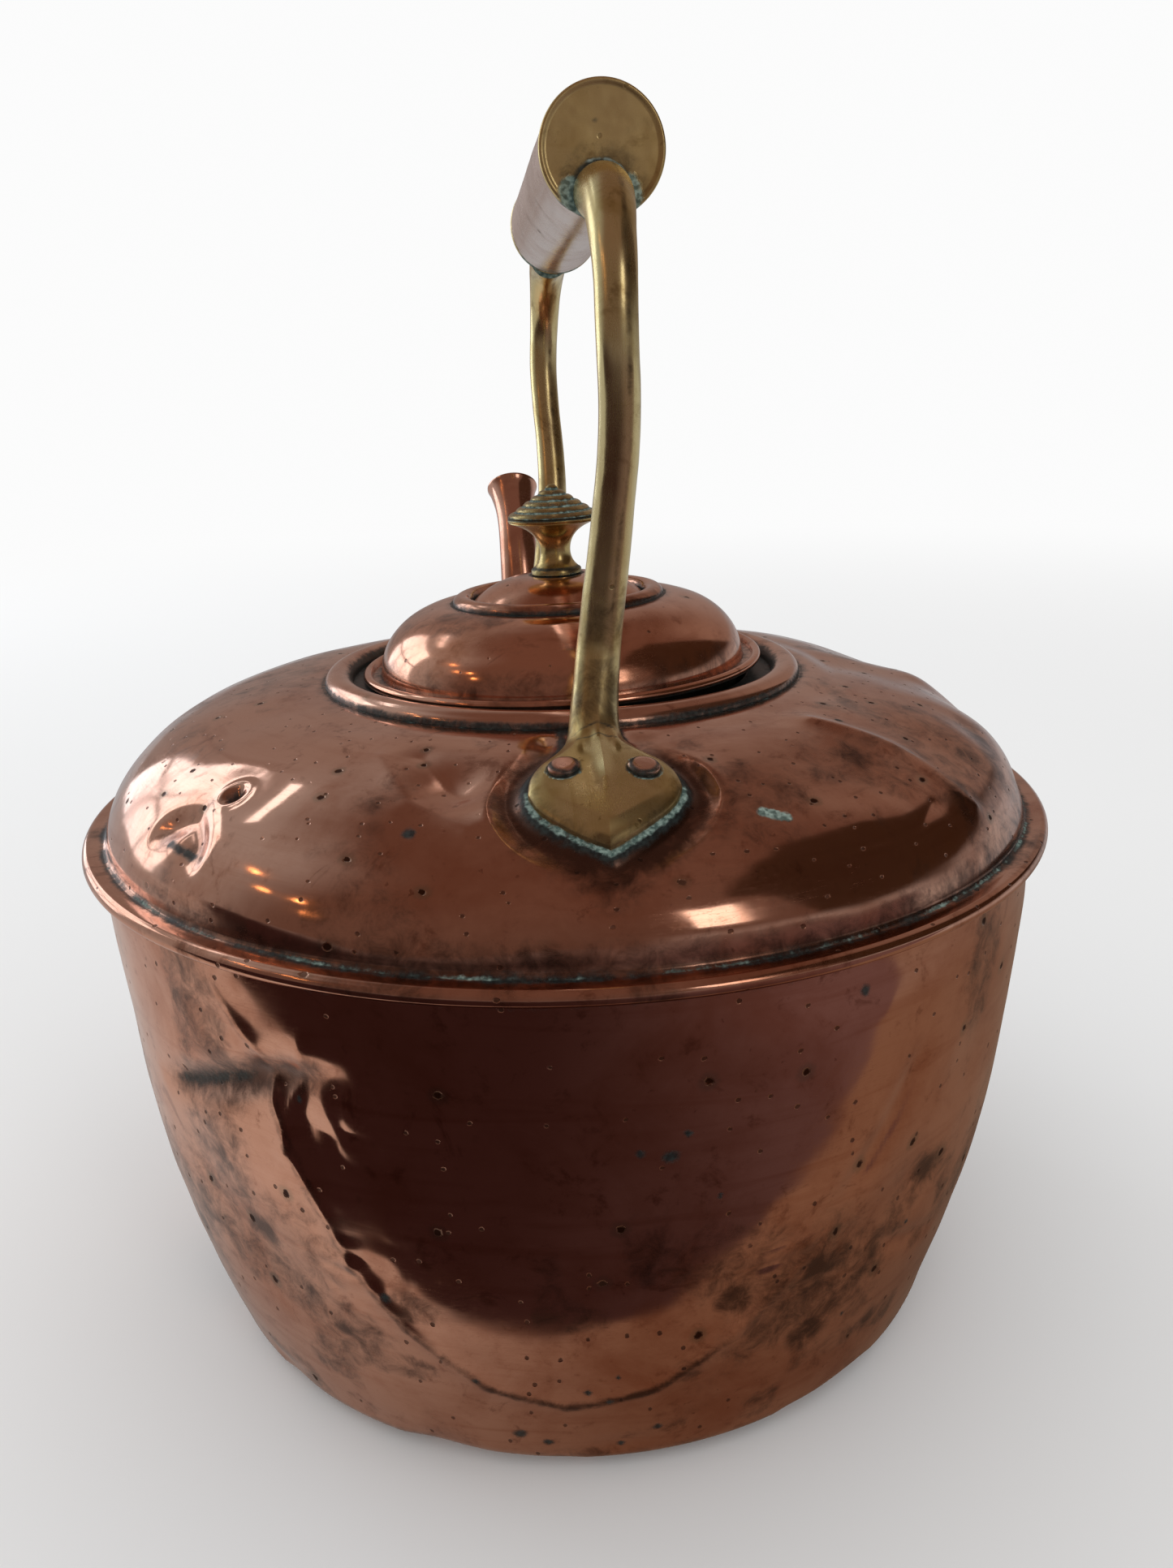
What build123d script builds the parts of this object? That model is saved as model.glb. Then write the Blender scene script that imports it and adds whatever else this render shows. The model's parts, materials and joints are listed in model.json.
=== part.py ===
from build123d import *
from math import acos, cos, pi, radians, sin
import os

# Copper kettle with a brass handle, in millimetres.
# The origin is the centre of the base's underside, +Z is up and +Y points towards the spout.

os.makedirs("parts", exist_ok=True)

# ---- Driving dimensions ------------------------------------------------------------------------

sheet = 1.1  # copper sheet of the vessel
fit_gap = 0.02  # soldered or riveted faces stay this far apart

rim_radius = 115.0  # outside of the folded seam, the widest part
rim_height = 121.2  # middle of the folded seam
wall_top_radius = 111.2
wall_foot_radius = 95.0
wall_foot_height = 6.0  # where the wall turns in to meet the base
base_radius = 90.0
base_lap = 7.0  # how far the wall reaches in over the base
base_edge_radius = 0.8

groove_radius = 109.5  # where the shoulder springs up inside the seam
groove_fillet = 1.5
shoulder_height = 152.2  # crown of the shoulder, under the collar
collar_outer_radius = 57.5
collar_inner_radius = 50.7
collar_rise = 3.1
mouth_radius = 44.6  # opening that the lid's sleeve drops into
neck_depth = 5.5

lid_lean = 1.8  # degrees; the lid sits askew, low at -X
lid_sheet = 1.0
lid_flange_radius = 48.3
lid_bead_radius = 1.1
lid_dome_radius = 43.9
lid_dome_rise = 15.3
lid_ring_radius = 20.5  # inside edge of the raised ring round the centre
lid_ring_width = 5.1
lid_ring_rise = 2.1
lid_cap_rise = 5.6
sleeve_radius = 42.4
sleeve_depth = 13.0
sleeve_overlap = 2.5  # how far the sleeve reaches up inside the dome

knob_seat_radius = 6.4
knob_foot_radius = 6.0
knob_foot_height = 1.5
knob_waist_radius = 3.9
knob_waist_height = 5.4
knob_brim_radius = 10.8
knob_brim_height = 12.1
knob_brim_edge = 1.1
knob_height = 20.8
knob_ridges = 5
knob_button_radius = 1.6
knob_tenon_radius = 1.8
knob_washer_radius = 5.0
knob_washer_thickness = 0.8
peened_radius = 2.8  # a tenon's end, spread to hold it
peened_thickness = 0.9

grip_radius = 11.5
grip_half_length = 51.5
grip_height = 258.6
grip_offset = 6.0  # the handle leans a little towards +X
grip_sheet = 1.0
cap_radius = 11.65
cap_thickness = 1.6
cap_plug = 3.0  # how far a cap reaches into the tube

leg_radius = 3.95
leg_root_radius = 4.25  # thicker where it meets the cap
leg_waist_radius = 3.55  # thinnest above the lid
leg_tenon_radius = 2.2
leg_tenon_drop = 7.4  # tenon centre below the grip's axis
leg_sway = 6.9  # how far the legs lean towards +X at their tops
leg_sway_height = 240.0  # the legs stand upright above this

foot_thickness = 2.3
foot_bevel = 0.9
foot_back = 60.0  # distances from the kettle's axis
foot_shoulder = 76.5
foot_widest = 84.0
foot_taper = 93.0
foot_tip = 98.9
foot_back_width = 5.8  # half widths
foot_shoulder_width = 12.0
foot_width = 13.9
foot_taper_width = 8.6

rivet_spread = 7.5
rivet_reach = 80.8
rivet_radius = 1.5
rivet_head_radius = 2.5
rivet_head_rise = 1.1
rivet_head_round = 0.9
rove_radius = 3.2
rove_thickness = 0.8
rivet_tail_radius = 2.4

spout_sheet = 1.0
spout_flange_width = 21.0  # half sizes of the flange round the spout's root
spout_flange_rise = 24.5
spout_root_height = 50.0

# ---- Derived sizes -----------------------------------------------------------------------------

pan_top = sheet + fit_gap
flange_low = rim_height - sheet / 2
flange_top = rim_height + sheet / 2
flange_radius = rim_radius - sheet - fit_gap
seam_top = flange_top + fit_gap + sheet
seam_bottom = flange_low - fit_gap - sheet
dome_run = groove_radius - collar_outer_radius
dome_rise = shoulder_height - seam_top

lean = radians(lid_lean)
lid_seat = Vector(0, 0, shoulder_height + lid_flange_radius * sin(lean) + 2 * fit_gap)
lid_up = Vector(-sin(lean), 0, cos(lean))
lid_axis = Axis(lid_seat, lid_up)
lid_section = Plane(origin=lid_seat, x_dir=(cos(lean), 0, sin(lean)), z_dir=(0, -1, 0))
lid_ring_outer = lid_ring_radius + lid_ring_width
lid_ring_height = lid_sheet + lid_dome_rise
lid_cap_height = lid_ring_height + lid_cap_rise
knob_base = lid_cap_height + fit_gap
lid_ceiling = lid_cap_height - lid_sheet

tenon_height = grip_height - leg_tenon_drop
tube_half_length = grip_half_length - cap_thickness - fit_gap
plug_radius = grip_radius - grip_sheet - fit_gap


# ---- Helpers -----------------------------------------------------------------------------------


def circles(piece, radius, height):
    """The circular edges of an upright turned piece at one radius and height."""
    rings = piece.edges().filter_by(GeomType.CIRCLE)
    return rings.filter_by(
        lambda edge: abs(edge.radius - radius) < fit_gap / 2 and abs(edge.arc_center.Z - height) < fit_gap / 2
    )


def dome_arc(lift):
    """A quarter of the shoulder's section, moved outwards by lift."""
    return EllipticalCenterArc(
        (collar_outer_radius, seam_top), dome_run + lift, dome_rise + lift, start_angle=0, arc_size=90
    )


def wall_lines(inset):
    """The wall's section from the seam to the base, moved inwards by inset."""
    bow = TangentArc(
        (wall_top_radius - inset, flange_low + inset),
        (wall_foot_radius - inset, wall_foot_height),
        tangent=(0, -1),
    )
    turn = TangentArc(bow @ 1, (base_radius, pan_top + inset), tangent=bow % 1)
    return bow, turn


def rivet_planes(way):
    """Planes on the shoulder under a foot's two rivets; way is -1 at the rear and 1 at the front."""
    slant = acos((rivet_reach - collar_outer_radius) / dome_run)
    height = seam_top + dome_rise * sin(slant)
    turn = rivet_spread / rivet_reach
    planes = []
    for side in (-1, 1):
        outward = Vector(side * sin(turn), way * cos(turn), 0)
        normal = outward * (cos(slant) / dome_run) + Vector(0, 0, sin(slant) / dome_rise)
        planes.append(Plane(origin=outward * rivet_reach + Vector(0, 0, height), z_dir=normal))
    return planes


# ---- Spout -------------------------------------------------------------------------------------

# the spout leans a little towards -X
spout_line = Spline((0, 90, 44), (0, 113, 55), (-0.3, 134, 82), (-1.1, 145, 125), (-2.0, 153, 165), (-2.6, 167, 185))
# where along the line each radius holds: root, bend, stem and the flared lip
spout_radii = ((0, 18), (0.15, 15.5), (0.32, 12), (0.52, 9.2), (0.72, 7.4), (0.86, 6.6), (0.95, 7.0), (1, 9.0))


def across_spout(place):
    """The plane square to the spout's line at a place along it."""
    return Plane(origin=spout_line @ place, x_dir=(1, 0, 0), z_dir=spout_line % place)


with BuildPart() as wall_core:
    with BuildSketch(Plane.XZ):
        with BuildLine():
            core_bow, core_turn = wall_lines(-fit_gap)
            Polyline(core_turn @ 1, (0, pan_top - fit_gap), (0, flange_low - fit_gap), core_bow @ 0)
        make_face()
    revolve(axis=Axis.Z)

with BuildPart() as spout_bore:
    for place, radius in spout_radii:
        with BuildSketch(across_spout(place)):
            Circle(radius - spout_sheet)
    loft()

with BuildPart() as spout_flange:
    with BuildSketch(Plane.XZ):
        with BuildLine():
            face_bow, face_turn = wall_lines(-fit_gap - spout_sheet)
            Polyline(face_turn @ 1, (0, pan_top), (0, flange_low), face_bow @ 0)
        make_face()
    revolve(axis=Axis.Z)
    with BuildSketch(Plane.XZ.offset(-rim_radius)):
        with Locations((0, spout_root_height)):
            Ellipse(spout_flange_width, spout_flange_rise)
    extrude(amount=rim_radius, mode=Mode.INTERSECT)

with BuildPart() as spout:
    for place, radius in spout_radii:
        with BuildSketch(across_spout(place)):
            Circle(radius)
    loft()
    add(spout_flange.part)
    add(wall_core.part, mode=Mode.SUBTRACT)
    add(spout_bore.part, mode=Mode.SUBTRACT)
spout.part.label = "spout"

# ---- Vessel ------------------------------------------------------------------------------------

with BuildPart() as base_pan:
    with BuildSketch():
        Circle(base_radius)
    extrude(amount=sheet)
    fillet(circles(base_pan, base_radius, 0), base_edge_radius)
base_pan.part.label = "base_pan"

with BuildPart() as body_wall:
    with BuildSketch(Plane.XZ):
        with BuildLine():
            outer_bow, outer_turn = wall_lines(0)
            inner_bow, inner_turn = wall_lines(sheet)
            lap_radius = base_radius - base_lap
            Polyline(outer_turn @ 1, (lap_radius, pan_top), (lap_radius, pan_top + sheet), inner_turn @ 1)
            Polyline(inner_bow @ 0, (flange_radius, flange_top), (flange_radius, flange_low), outer_bow @ 0)
        make_face()
    revolve(axis=Axis.Z)
    add(spout_bore.part, mode=Mode.SUBTRACT)
body_wall.part.label = "body_wall"

with BuildPart() as shoulder:
    with BuildSketch(Plane.XZ):
        with BuildLine():
            outside = dome_arc(0)
            inside = dome_arc(-sheet)
            hem_radius = wall_top_radius + fit_gap
            neck_low = shoulder_height - neck_depth
            Polyline(
                inside @ 1,
                (mouth_radius + sheet, shoulder_height - sheet),
                (mouth_radius + sheet, neck_low),
                (mouth_radius, neck_low),
                (mouth_radius, shoulder_height),
                outside @ 1,
            )
            Polyline(
                outside @ 0,
                (rim_radius, seam_top),
                (rim_radius, seam_bottom),
                (hem_radius, seam_bottom),
                (hem_radius, seam_bottom + sheet),
                (rim_radius - sheet, seam_bottom + sheet),
                (rim_radius - sheet, seam_top - sheet),
                (groove_radius - sheet, seam_top - sheet),
                inside @ 0,
            )
        make_face()
    revolve(axis=Axis.Z)
    fillet(circles(shoulder, groove_radius, seam_top), groove_fillet)
    fillet(circles(shoulder, rim_radius, seam_top) + circles(shoulder, rim_radius, seam_bottom), sheet)
    fillet(circles(shoulder, mouth_radius, shoulder_height), sheet)
    for way in (-1, 1):
        for seat in rivet_planes(way):
            with BuildSketch(seat):
                Circle(rivet_radius + fit_gap)
            extrude(amount=2 * sheet, both=True, mode=Mode.SUBTRACT)
shoulder.part.label = "shoulder"

with BuildPart() as lid_collar:
    with BuildSketch(Plane.XZ):
        with BuildLine():
            collar_width = collar_outer_radius - collar_inner_radius
            middle = (collar_outer_radius - collar_width / 2, shoulder_height + fit_gap)
            moulding = EllipticalCenterArc(middle, collar_width / 2, collar_rise, start_angle=0, arc_size=180)
            Line(moulding @ 1, moulding @ 0)
        make_face()
    revolve(axis=Axis.Z)
lid_collar.part.label = "lid_collar"

# ---- Lid ---------------------------------------------------------------------------------------

with BuildPart() as lid_dome:
    with BuildSketch(lid_section):
        with BuildLine():
            run = lid_dome_radius - lid_ring_outer
            dome = EllipticalCenterArc((lid_ring_outer, lid_sheet), run, lid_dome_rise, start_angle=0, arc_size=90)
            ring = EllipticalCenterArc(
                (lid_ring_radius + lid_ring_width / 2, lid_ring_height),
                lid_ring_width / 2,
                lid_ring_rise,
                start_angle=0,
                arc_size=180,
            )
            cap = TangentArc((knob_seat_radius, lid_cap_height), (lid_ring_radius, lid_ring_height), tangent=(1, 0))
            Polyline(cap @ 0, (0, lid_cap_height), (0, lid_ceiling), (knob_seat_radius, lid_ceiling))
            under_cap = TangentArc(
                (knob_seat_radius, lid_ceiling), (lid_ring_radius, lid_ring_height - lid_sheet), tangent=(1, 0)
            )
            under_dome = EllipticalCenterArc(
                (lid_ring_outer, 0), run - lid_sheet, lid_dome_rise, start_angle=0, arc_size=90
            )
            Line(under_cap @ 1, under_dome @ 1)
            Polyline(under_dome @ 0, (lid_flange_radius, 0), (lid_flange_radius, lid_sheet), dome @ 0)
        make_face()
        with Locations((lid_flange_radius - lid_bead_radius, lid_bead_radius)):
            Circle(lid_bead_radius)
    revolve(axis=lid_axis)
    with BuildSketch(Plane(origin=lid_seat, z_dir=lid_up)):
        Circle(knob_tenon_radius + fit_gap)
    extrude(amount=2 * lid_cap_height, mode=Mode.SUBTRACT)
lid_dome.part.label = "lid_dome"

with BuildPart() as lid_sleeve:
    with BuildSketch(Plane(origin=lid_seat - lid_up * sleeve_depth, z_dir=lid_up)):
        Circle(sleeve_radius)
        Circle(sleeve_radius - lid_sheet, mode=Mode.SUBTRACT)
    extrude(amount=sleeve_depth + sleeve_overlap)
lid_sleeve.part.label = "lid_sleeve"

with BuildPart() as knob:
    with BuildSketch(lid_section):
        with BuildLine():
            foot_edge = Line((knob_foot_radius, knob_base), (knob_foot_radius, knob_base + knob_foot_height))
            waist = (knob_waist_radius, knob_base + knob_waist_height)
            brim_low = (knob_brim_radius, knob_base + knob_brim_height)
            Spline(foot_edge @ 1, waist, brim_low, tangents=((-1, 0.1), (1, 0.15)))
            step = (knob_height - knob_brim_height - knob_brim_edge) / (knob_ridges + 1)
            reach = (knob_brim_radius - knob_button_radius) / knob_ridges
            brim_top = Line(brim_low, (knob_brim_radius, knob_base + knob_brim_height + knob_brim_edge))
            ridge_end = brim_top @ 1
            for ridge in range(knob_ridges):
                next_end = ridge_end + Vector(-reach, step)
                SagittaArc(ridge_end, next_end, -step / 3)
                ridge_end = next_end
            top = (0, knob_base + knob_height)
            TangentArc(top, ridge_end, tangent=(1, 0))
            tail = lid_ceiling - fit_gap - knob_washer_thickness - fit_gap
            Polyline(
                top,
                (0, tail - peened_thickness),
                (peened_radius, tail - peened_thickness),
                (peened_radius, tail),
                (knob_tenon_radius, tail),
                (knob_tenon_radius, knob_base),
                foot_edge @ 0,
            )
        make_face()
    revolve(axis=lid_axis)
knob.part.label = "knob"

with BuildPart() as knob_washer:
    washer_height = lid_ceiling - fit_gap - knob_washer_thickness
    with BuildSketch(Plane(origin=lid_seat + lid_up * washer_height, z_dir=lid_up)):
        Circle(knob_washer_radius)
        Circle(knob_tenon_radius + fit_gap, mode=Mode.SUBTRACT)
    extrude(amount=knob_washer_thickness)
knob_washer.part.label = "knob_washer"

# ---- Handle ------------------------------------------------------------------------------------


def leg_point(reach, height):
    """A point on a rear leg's centre line, swayed towards +X as it climbs."""
    climb = min(1, (height - shoulder_height) / (leg_sway_height - shoulder_height))
    return Vector(leg_sway * sin(climb * pi / 2), -reach, height)


leg_line = Spline(
    leg_point(grip_half_length + fit_gap, tenon_height),
    leg_point(67.0, 245.0),
    leg_point(73.0, 231.0),
    leg_point(66.0, 197.0),
    leg_point(61.3, 172.0),
    leg_point(71.0, 153.2),
    tangents=((0, -1, 0), (0, -0.8, -0.6)),
    tangent_scalars=(0.4, 0.4),
)
# where along the line each half width and half thickness holds
leg_sizes = (
    (0, leg_root_radius, leg_root_radius),
    (0.08, leg_radius, leg_radius),
    (0.28, leg_radius, leg_radius),
    (0.55, leg_waist_radius, leg_waist_radius),
    (0.7, 4.0, 3.6),
    (0.8, 4.3, 3.4),
    (0.9, 5.4, 2.8),
    (1, 8.0, 1.2),
)

with BuildPart() as foot_outline:
    with BuildSketch():
        with BuildLine():
            flare = Spline(
                (foot_back_width, -foot_back),
                (foot_shoulder_width, -foot_shoulder),
                (foot_width, -foot_widest),
                tangents=((0.15, -1), (0, -1)),
            )
            taper = Spline(flare @ 1, (foot_taper_width, -foot_taper), (0, -foot_tip), tangents=((0, -1), (-1, -0.62)))
            mirror(about=Plane.YZ)
            Line((-foot_back_width, -foot_back), (foot_back_width, -foot_back))
        make_face()
    extrude(amount=grip_height)

with BuildPart() as rear_leg:
    with BuildSketch(Plane.XZ):
        with BuildLine():
            under = dome_arc(fit_gap)
            over = dome_arc(fit_gap + foot_thickness)
            Line(under @ 0, over @ 0)
            Line(under @ 1, over @ 1)
        make_face()
    revolve(axis=Axis.Z)
    add(foot_outline.part, mode=Mode.INTERSECT)
    top_face = rear_leg.faces().sort_by(SortBy.AREA)[-2:].sort_by(Axis.Z)[-1]
    chamfer(top_face.edges(), foot_bevel)
    for place, half_width, half_depth in leg_sizes:
        with BuildSketch(Plane(origin=leg_line @ place, x_dir=(1, 0, 0), z_dir=leg_line % place)):
            Ellipse(half_width, half_depth)
    loft()
    with BuildSketch(Plane.XZ.offset(grip_half_length + fit_gap)):
        with Locations((leg_sway, tenon_height)):
            Circle(leg_tenon_radius)
    extrude(amount=-(cap_thickness + cap_plug + peened_thickness + fit_gap))
    for seat in rivet_planes(-1):
        with BuildSketch(seat):
            Circle(rivet_radius + fit_gap)
        extrude(amount=2 * foot_thickness, mode=Mode.SUBTRACT)
rear_leg.part.label = "rear_leg"

with BuildPart() as front_leg:
    mirror(rear_leg.part, about=Plane.XZ)
front_leg.part.label = "front_leg"

with BuildPart() as grip_tube:
    with BuildSketch(Plane.XZ):
        with Locations((grip_offset, grip_height)):
            Circle(grip_radius)
            Circle(grip_radius - grip_sheet, mode=Mode.SUBTRACT)
    extrude(amount=tube_half_length, both=True)
grip_tube.part.label = "grip_tube"

with BuildPart() as rear_grip_cap:
    with BuildSketch(Plane.XZ.offset(grip_half_length - cap_thickness)):
        with Locations((grip_offset, grip_height)):
            Circle(cap_radius)
    extrude(amount=cap_thickness)
    outer_edge = rear_grip_cap.edges().filter_by(GeomType.CIRCLE).sort_by(Axis.Y)[0]
    fillet(outer_edge, cap_thickness / 3)
    with BuildSketch(Plane.XZ.offset(grip_half_length - cap_thickness)):
        with Locations((grip_offset, grip_height)):
            Circle(plug_radius)
    extrude(amount=-cap_plug)
    with BuildSketch(Plane.XZ.offset(grip_half_length)):
        with Locations((leg_sway, tenon_height)):
            Circle(leg_tenon_radius + fit_gap)
    extrude(amount=-2 * (cap_thickness + cap_plug), mode=Mode.SUBTRACT)
rear_grip_cap.part.label = "rear_grip_cap"

with BuildPart() as front_grip_cap:
    mirror(rear_grip_cap.part, about=Plane.XZ)
front_grip_cap.part.label = "front_grip_cap"

# ---- Rivets and the washers under their tails --------------------------------------------------

head_seat = foot_thickness + 3 * fit_gap
rove_top = -sheet - 5 * fit_gap
tail_top = rove_top - rove_thickness - fit_gap

with BuildPart() as rear_rivets:
    for seat in rivet_planes(-1):
        with BuildSketch(seat.offset(head_seat)):
            Circle(rivet_head_radius)
        extrude(amount=rivet_head_rise)
        with BuildSketch(seat.offset(tail_top - peened_thickness)):
            Circle(rivet_radius)
        extrude(amount=head_seat - tail_top + peened_thickness)
        with BuildSketch(seat.offset(tail_top)):
            Circle(rivet_tail_radius)
        extrude(amount=-peened_thickness)
    crowns = rear_rivets.edges().filter_by(GeomType.CIRCLE).group_by(SortBy.RADIUS)[-1]
    fillet(crowns.group_by(Axis.Z)[-1], rivet_head_round)
rear_rivets.part.label = "rear_rivets"

with BuildPart() as front_rivets:
    mirror(rear_rivets.part, about=Plane.XZ)
front_rivets.part.label = "front_rivets"

with BuildPart() as rear_roves:
    for seat in rivet_planes(-1):
        with BuildSketch(seat.offset(rove_top)):
            Circle(rove_radius)
            Circle(rivet_radius + fit_gap, mode=Mode.SUBTRACT)
        extrude(amount=-rove_thickness)
rear_roves.part.label = "rear_roves"

with BuildPart() as front_roves:
    mirror(rear_roves.part, about=Plane.XZ)
front_roves.part.label = "front_roves"

# ---- Files -------------------------------------------------------------------------------------

vessel_parts = (base_pan, body_wall, shoulder, lid_collar, spout)
handle_parts = (rear_leg, front_leg, grip_tube, rear_grip_cap, front_grip_cap)
fastener_parts = (rear_rivets, front_rivets, rear_roves, front_roves)
lid_parts = (lid_dome, lid_sleeve, knob, knob_washer)
for piece in vessel_parts + handle_parts + fastener_parts + lid_parts:
    export_step(piece.part, f"parts/{piece.part.label}.step")
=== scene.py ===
import json
import math
from itertools import product

import bmesh
import bpy
import numpy as np
from mathutils import Matrix, Vector


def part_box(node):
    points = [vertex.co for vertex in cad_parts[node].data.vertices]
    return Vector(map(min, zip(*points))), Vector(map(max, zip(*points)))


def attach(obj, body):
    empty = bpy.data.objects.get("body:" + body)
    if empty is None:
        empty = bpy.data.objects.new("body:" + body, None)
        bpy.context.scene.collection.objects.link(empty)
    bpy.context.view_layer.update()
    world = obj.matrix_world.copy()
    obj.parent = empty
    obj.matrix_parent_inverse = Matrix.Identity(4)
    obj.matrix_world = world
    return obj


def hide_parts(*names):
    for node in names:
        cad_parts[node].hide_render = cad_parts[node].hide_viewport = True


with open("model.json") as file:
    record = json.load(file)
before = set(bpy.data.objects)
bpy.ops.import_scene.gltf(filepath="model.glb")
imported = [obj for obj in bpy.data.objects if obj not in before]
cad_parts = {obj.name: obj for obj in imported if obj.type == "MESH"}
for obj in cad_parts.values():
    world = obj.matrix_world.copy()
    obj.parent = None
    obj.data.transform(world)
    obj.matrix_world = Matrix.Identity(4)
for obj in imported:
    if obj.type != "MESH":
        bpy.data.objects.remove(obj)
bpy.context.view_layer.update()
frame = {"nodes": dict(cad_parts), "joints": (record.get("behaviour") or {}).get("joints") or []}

# A worn copper kettle. Lengths are millimetres in the CAD's frame, and MM turns them into metres.
# A turn is an angle in degrees round the kettle, from the rear foot (-Y) towards +X.
# A reach is a distance from the kettle's axis.
MM = 0.001


def corners(node):
    """Lowest and highest corner of a CAD node."""
    low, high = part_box(node)
    return np.array(low) / MM, np.array(high) / MM


# ---- Sizes ----

sheet = 1.1
gap = 0.02
rim_radius = corners("shoulder")[1][0]
seam_bottom = corners("shoulder")[0][2]
crown = corners("shoulder")[1][2]
flange_radius = corners("body_wall")[1][0]
flange_top = corners("body_wall")[1][2]
flange_low = flange_top - sheet
seam_top = flange_top + gap + sheet
wall_top_radius = rim_radius - 3.8
wall_foot_radius = 95.0
wall_foot_height = 6.0
base_radius = corners("base_pan")[1][0]
base_top = corners("base_pan")[1][2] + gap
base_lap = 7.0
groove_radius = rim_radius - 5.5
collar_radius = corners("lid_collar")[1][0]
collar_width = 6.8
collar_low = corners("lid_collar")[0][2]
collar_rise = corners("lid_collar")[1][2] - collar_low
mouth_radius = 44.6
neck_low = crown - 5.5
dome_run = groove_radius - collar_radius
dome_rise = crown - seam_top

lid_up = np.array(frame["joints"][0]["axis"], float)
lid_flange = 48.3
lid_sheet = 1.0
lid_seat = np.array([0, 0, crown - lid_flange * lid_up[0] + 2 * gap])
lid_bead = 1.1
lid_dome_radius = 43.9
lid_dome_rise = 15.3
lid_ring_inner = 20.5
lid_ring_outer = 25.6
lid_ring_rise = 2.1
lid_cap_rise = 5.6
knob_seat = 6.4
knob_brim = 10.8
knob_brim_height = 12.6
knob_height = 21.0

grip_middle = (corners("grip_tube")[0] + corners("grip_tube")[1]) / 2
grip_radius = 11.5
grip_half = -corners("rear_grip_cap")[0][1]
grip_sheet = 1.0
cap_radius = 11.65
cap_thickness = 1.6

foot_thickness = 2.3
foot_back = 60.0
foot_tip = -corners("rear_leg")[0][1] - 0.5
foot_slant = -0.8  # how far the tip wanders from the foot's middle
leg_top = 251.2  # middle of the leg's end, on the grip's cap
leg_sway = 6.9
leg_sway_height = 240.0
rivet_places = ((-7.1, 81.7), (7.3, 82.9))  # across the foot and out from the kettle's axis

spout_root_height = 50.0
spout_sheet = 1.0

TENON = 1.8  # radius of the tenon under the knob
WASHER = 0.8  # thickness of the washers and roves
FINE = 720  # points round the shoulder and the wall
FLAT = np.array([1, 1, 0])


# ---- Lines ----


def oval(centre, run, rise, start, end, steps):
    """Points on an ellipse's arc between two angles in degrees."""
    angles = np.radians(np.linspace(start, end, steps))
    return np.stack([centre[0] + run * np.cos(angles), centre[1] + rise * np.sin(angles)], 1)


def bend_to(start, direction, end, steps):
    """The arc that leaves start along direction and reaches end, and its direction there."""
    start = np.array(start, float)
    chord = np.array(end, float) - start
    along = np.array(direction, float)
    across = np.array([-along[1], along[0]])
    radius = chord @ chord / (2 * (chord @ across))
    turn = 2 * math.atan2(chord @ across, chord @ along)
    angles = np.linspace(0, turn, steps)[:, None]
    arc = start + radius * (np.sin(angles) * along + (1 - np.cos(angles)) * across)
    return arc, math.cos(turn) * along + math.sin(turn) * across


def curve(points, steps):
    """A smooth curve through points: a natural cubic spline over the distances between them."""
    points = np.array(points, float)
    knots = np.concatenate([[0], np.cumsum(np.linalg.norm(np.diff(points, axis=0), axis=1))])
    gaps = np.diff(knots)
    system = np.eye(len(points))
    target = np.zeros_like(points)
    for i in range(1, len(points) - 1):
        system[i, i - 1 : i + 2] = gaps[i - 1], 2 * (gaps[i - 1] + gaps[i]), gaps[i]
        target[i] = 6 * ((points[i + 1] - points[i]) / gaps[i] - (points[i] - points[i - 1]) / gaps[i - 1])
    bends = np.linalg.solve(system, target)
    places = np.linspace(0, knots[-1], steps)
    i = np.clip(np.searchsorted(knots, places, side="right") - 1, 0, len(points) - 2)
    left = (knots[i + 1] - places)[:, None]
    right = (places - knots[i])[:, None]
    size = gaps[i][:, None]
    cubic = (bends[i] * left**3 + bends[i + 1] * right**3) / (6 * size)
    return cubic + (points[i] / size - bends[i] * size / 6) * left + (
        points[i + 1] / size - bends[i + 1] * size / 6
    ) * right


def ease(value, low, high):
    """0 below low, 1 above high, smooth between."""
    part = np.clip((value - low) / (high - low), 0, 1)
    return part * part * (3 - 2 * part)


def hill(distance, size):
    """1 at no distance, falling off smoothly over size."""
    return np.exp(-((distance / size) ** 2))


def fold(distance, size):
    """Like hill, with a sharp crest."""
    return np.exp(-np.sqrt(distance**2 + 0.15) / size)


LATTICE = np.random.default_rng(11).random((32, 32, 32))


def cloud(points, cell):
    """Smooth noise from -1 to 1 with bumps about cell apart."""
    place = points / cell
    low = np.floor(place).astype(int)
    part = place - low
    part = part * part * (3 - 2 * part)
    total = np.zeros(points.shape[:-1])
    for corner in product((0, 1), repeat=3):
        weight = np.prod(np.where(corner, part, 1 - part), axis=-1)
        i, j, k = np.moveaxis((low + corner) % 32, -1, 0)
        total += weight * LATTICE[i, j, k]
    return 2 * total - 1


def off(points, spot):
    """Distance from each point to a spot."""
    return np.linalg.norm(points - np.array(spot), axis=-1)


def near(points, spot, size):
    return hill(off(points, spot), size)


def most(*amounts):
    """The largest amount at each point."""
    return np.maximum.reduce(amounts)


def reach_of(points):
    return np.hypot(points[..., 0], points[..., 1])


def turn_of(points):
    return np.degrees(np.arctan2(points[..., 0], -points[..., 1]))


def unit(ways):
    return ways / np.maximum(np.linalg.norm(ways, axis=-1, keepdims=True), 1e-9)


def off_line(points, line):
    """Distance from each point to a line through the given spots."""
    nearest = np.full(points.shape[:-1], np.inf)
    for start, end in zip(line[:-1], line[1:]):
        along = end - start
        part = np.clip((points - start) @ along / max(along @ along, 1e-9), 0, 1)
        nearest = np.minimum(nearest, np.linalg.norm(points - start - part[..., None] * along, axis=-1))
    return nearest


# ---- Meshes ----


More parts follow.
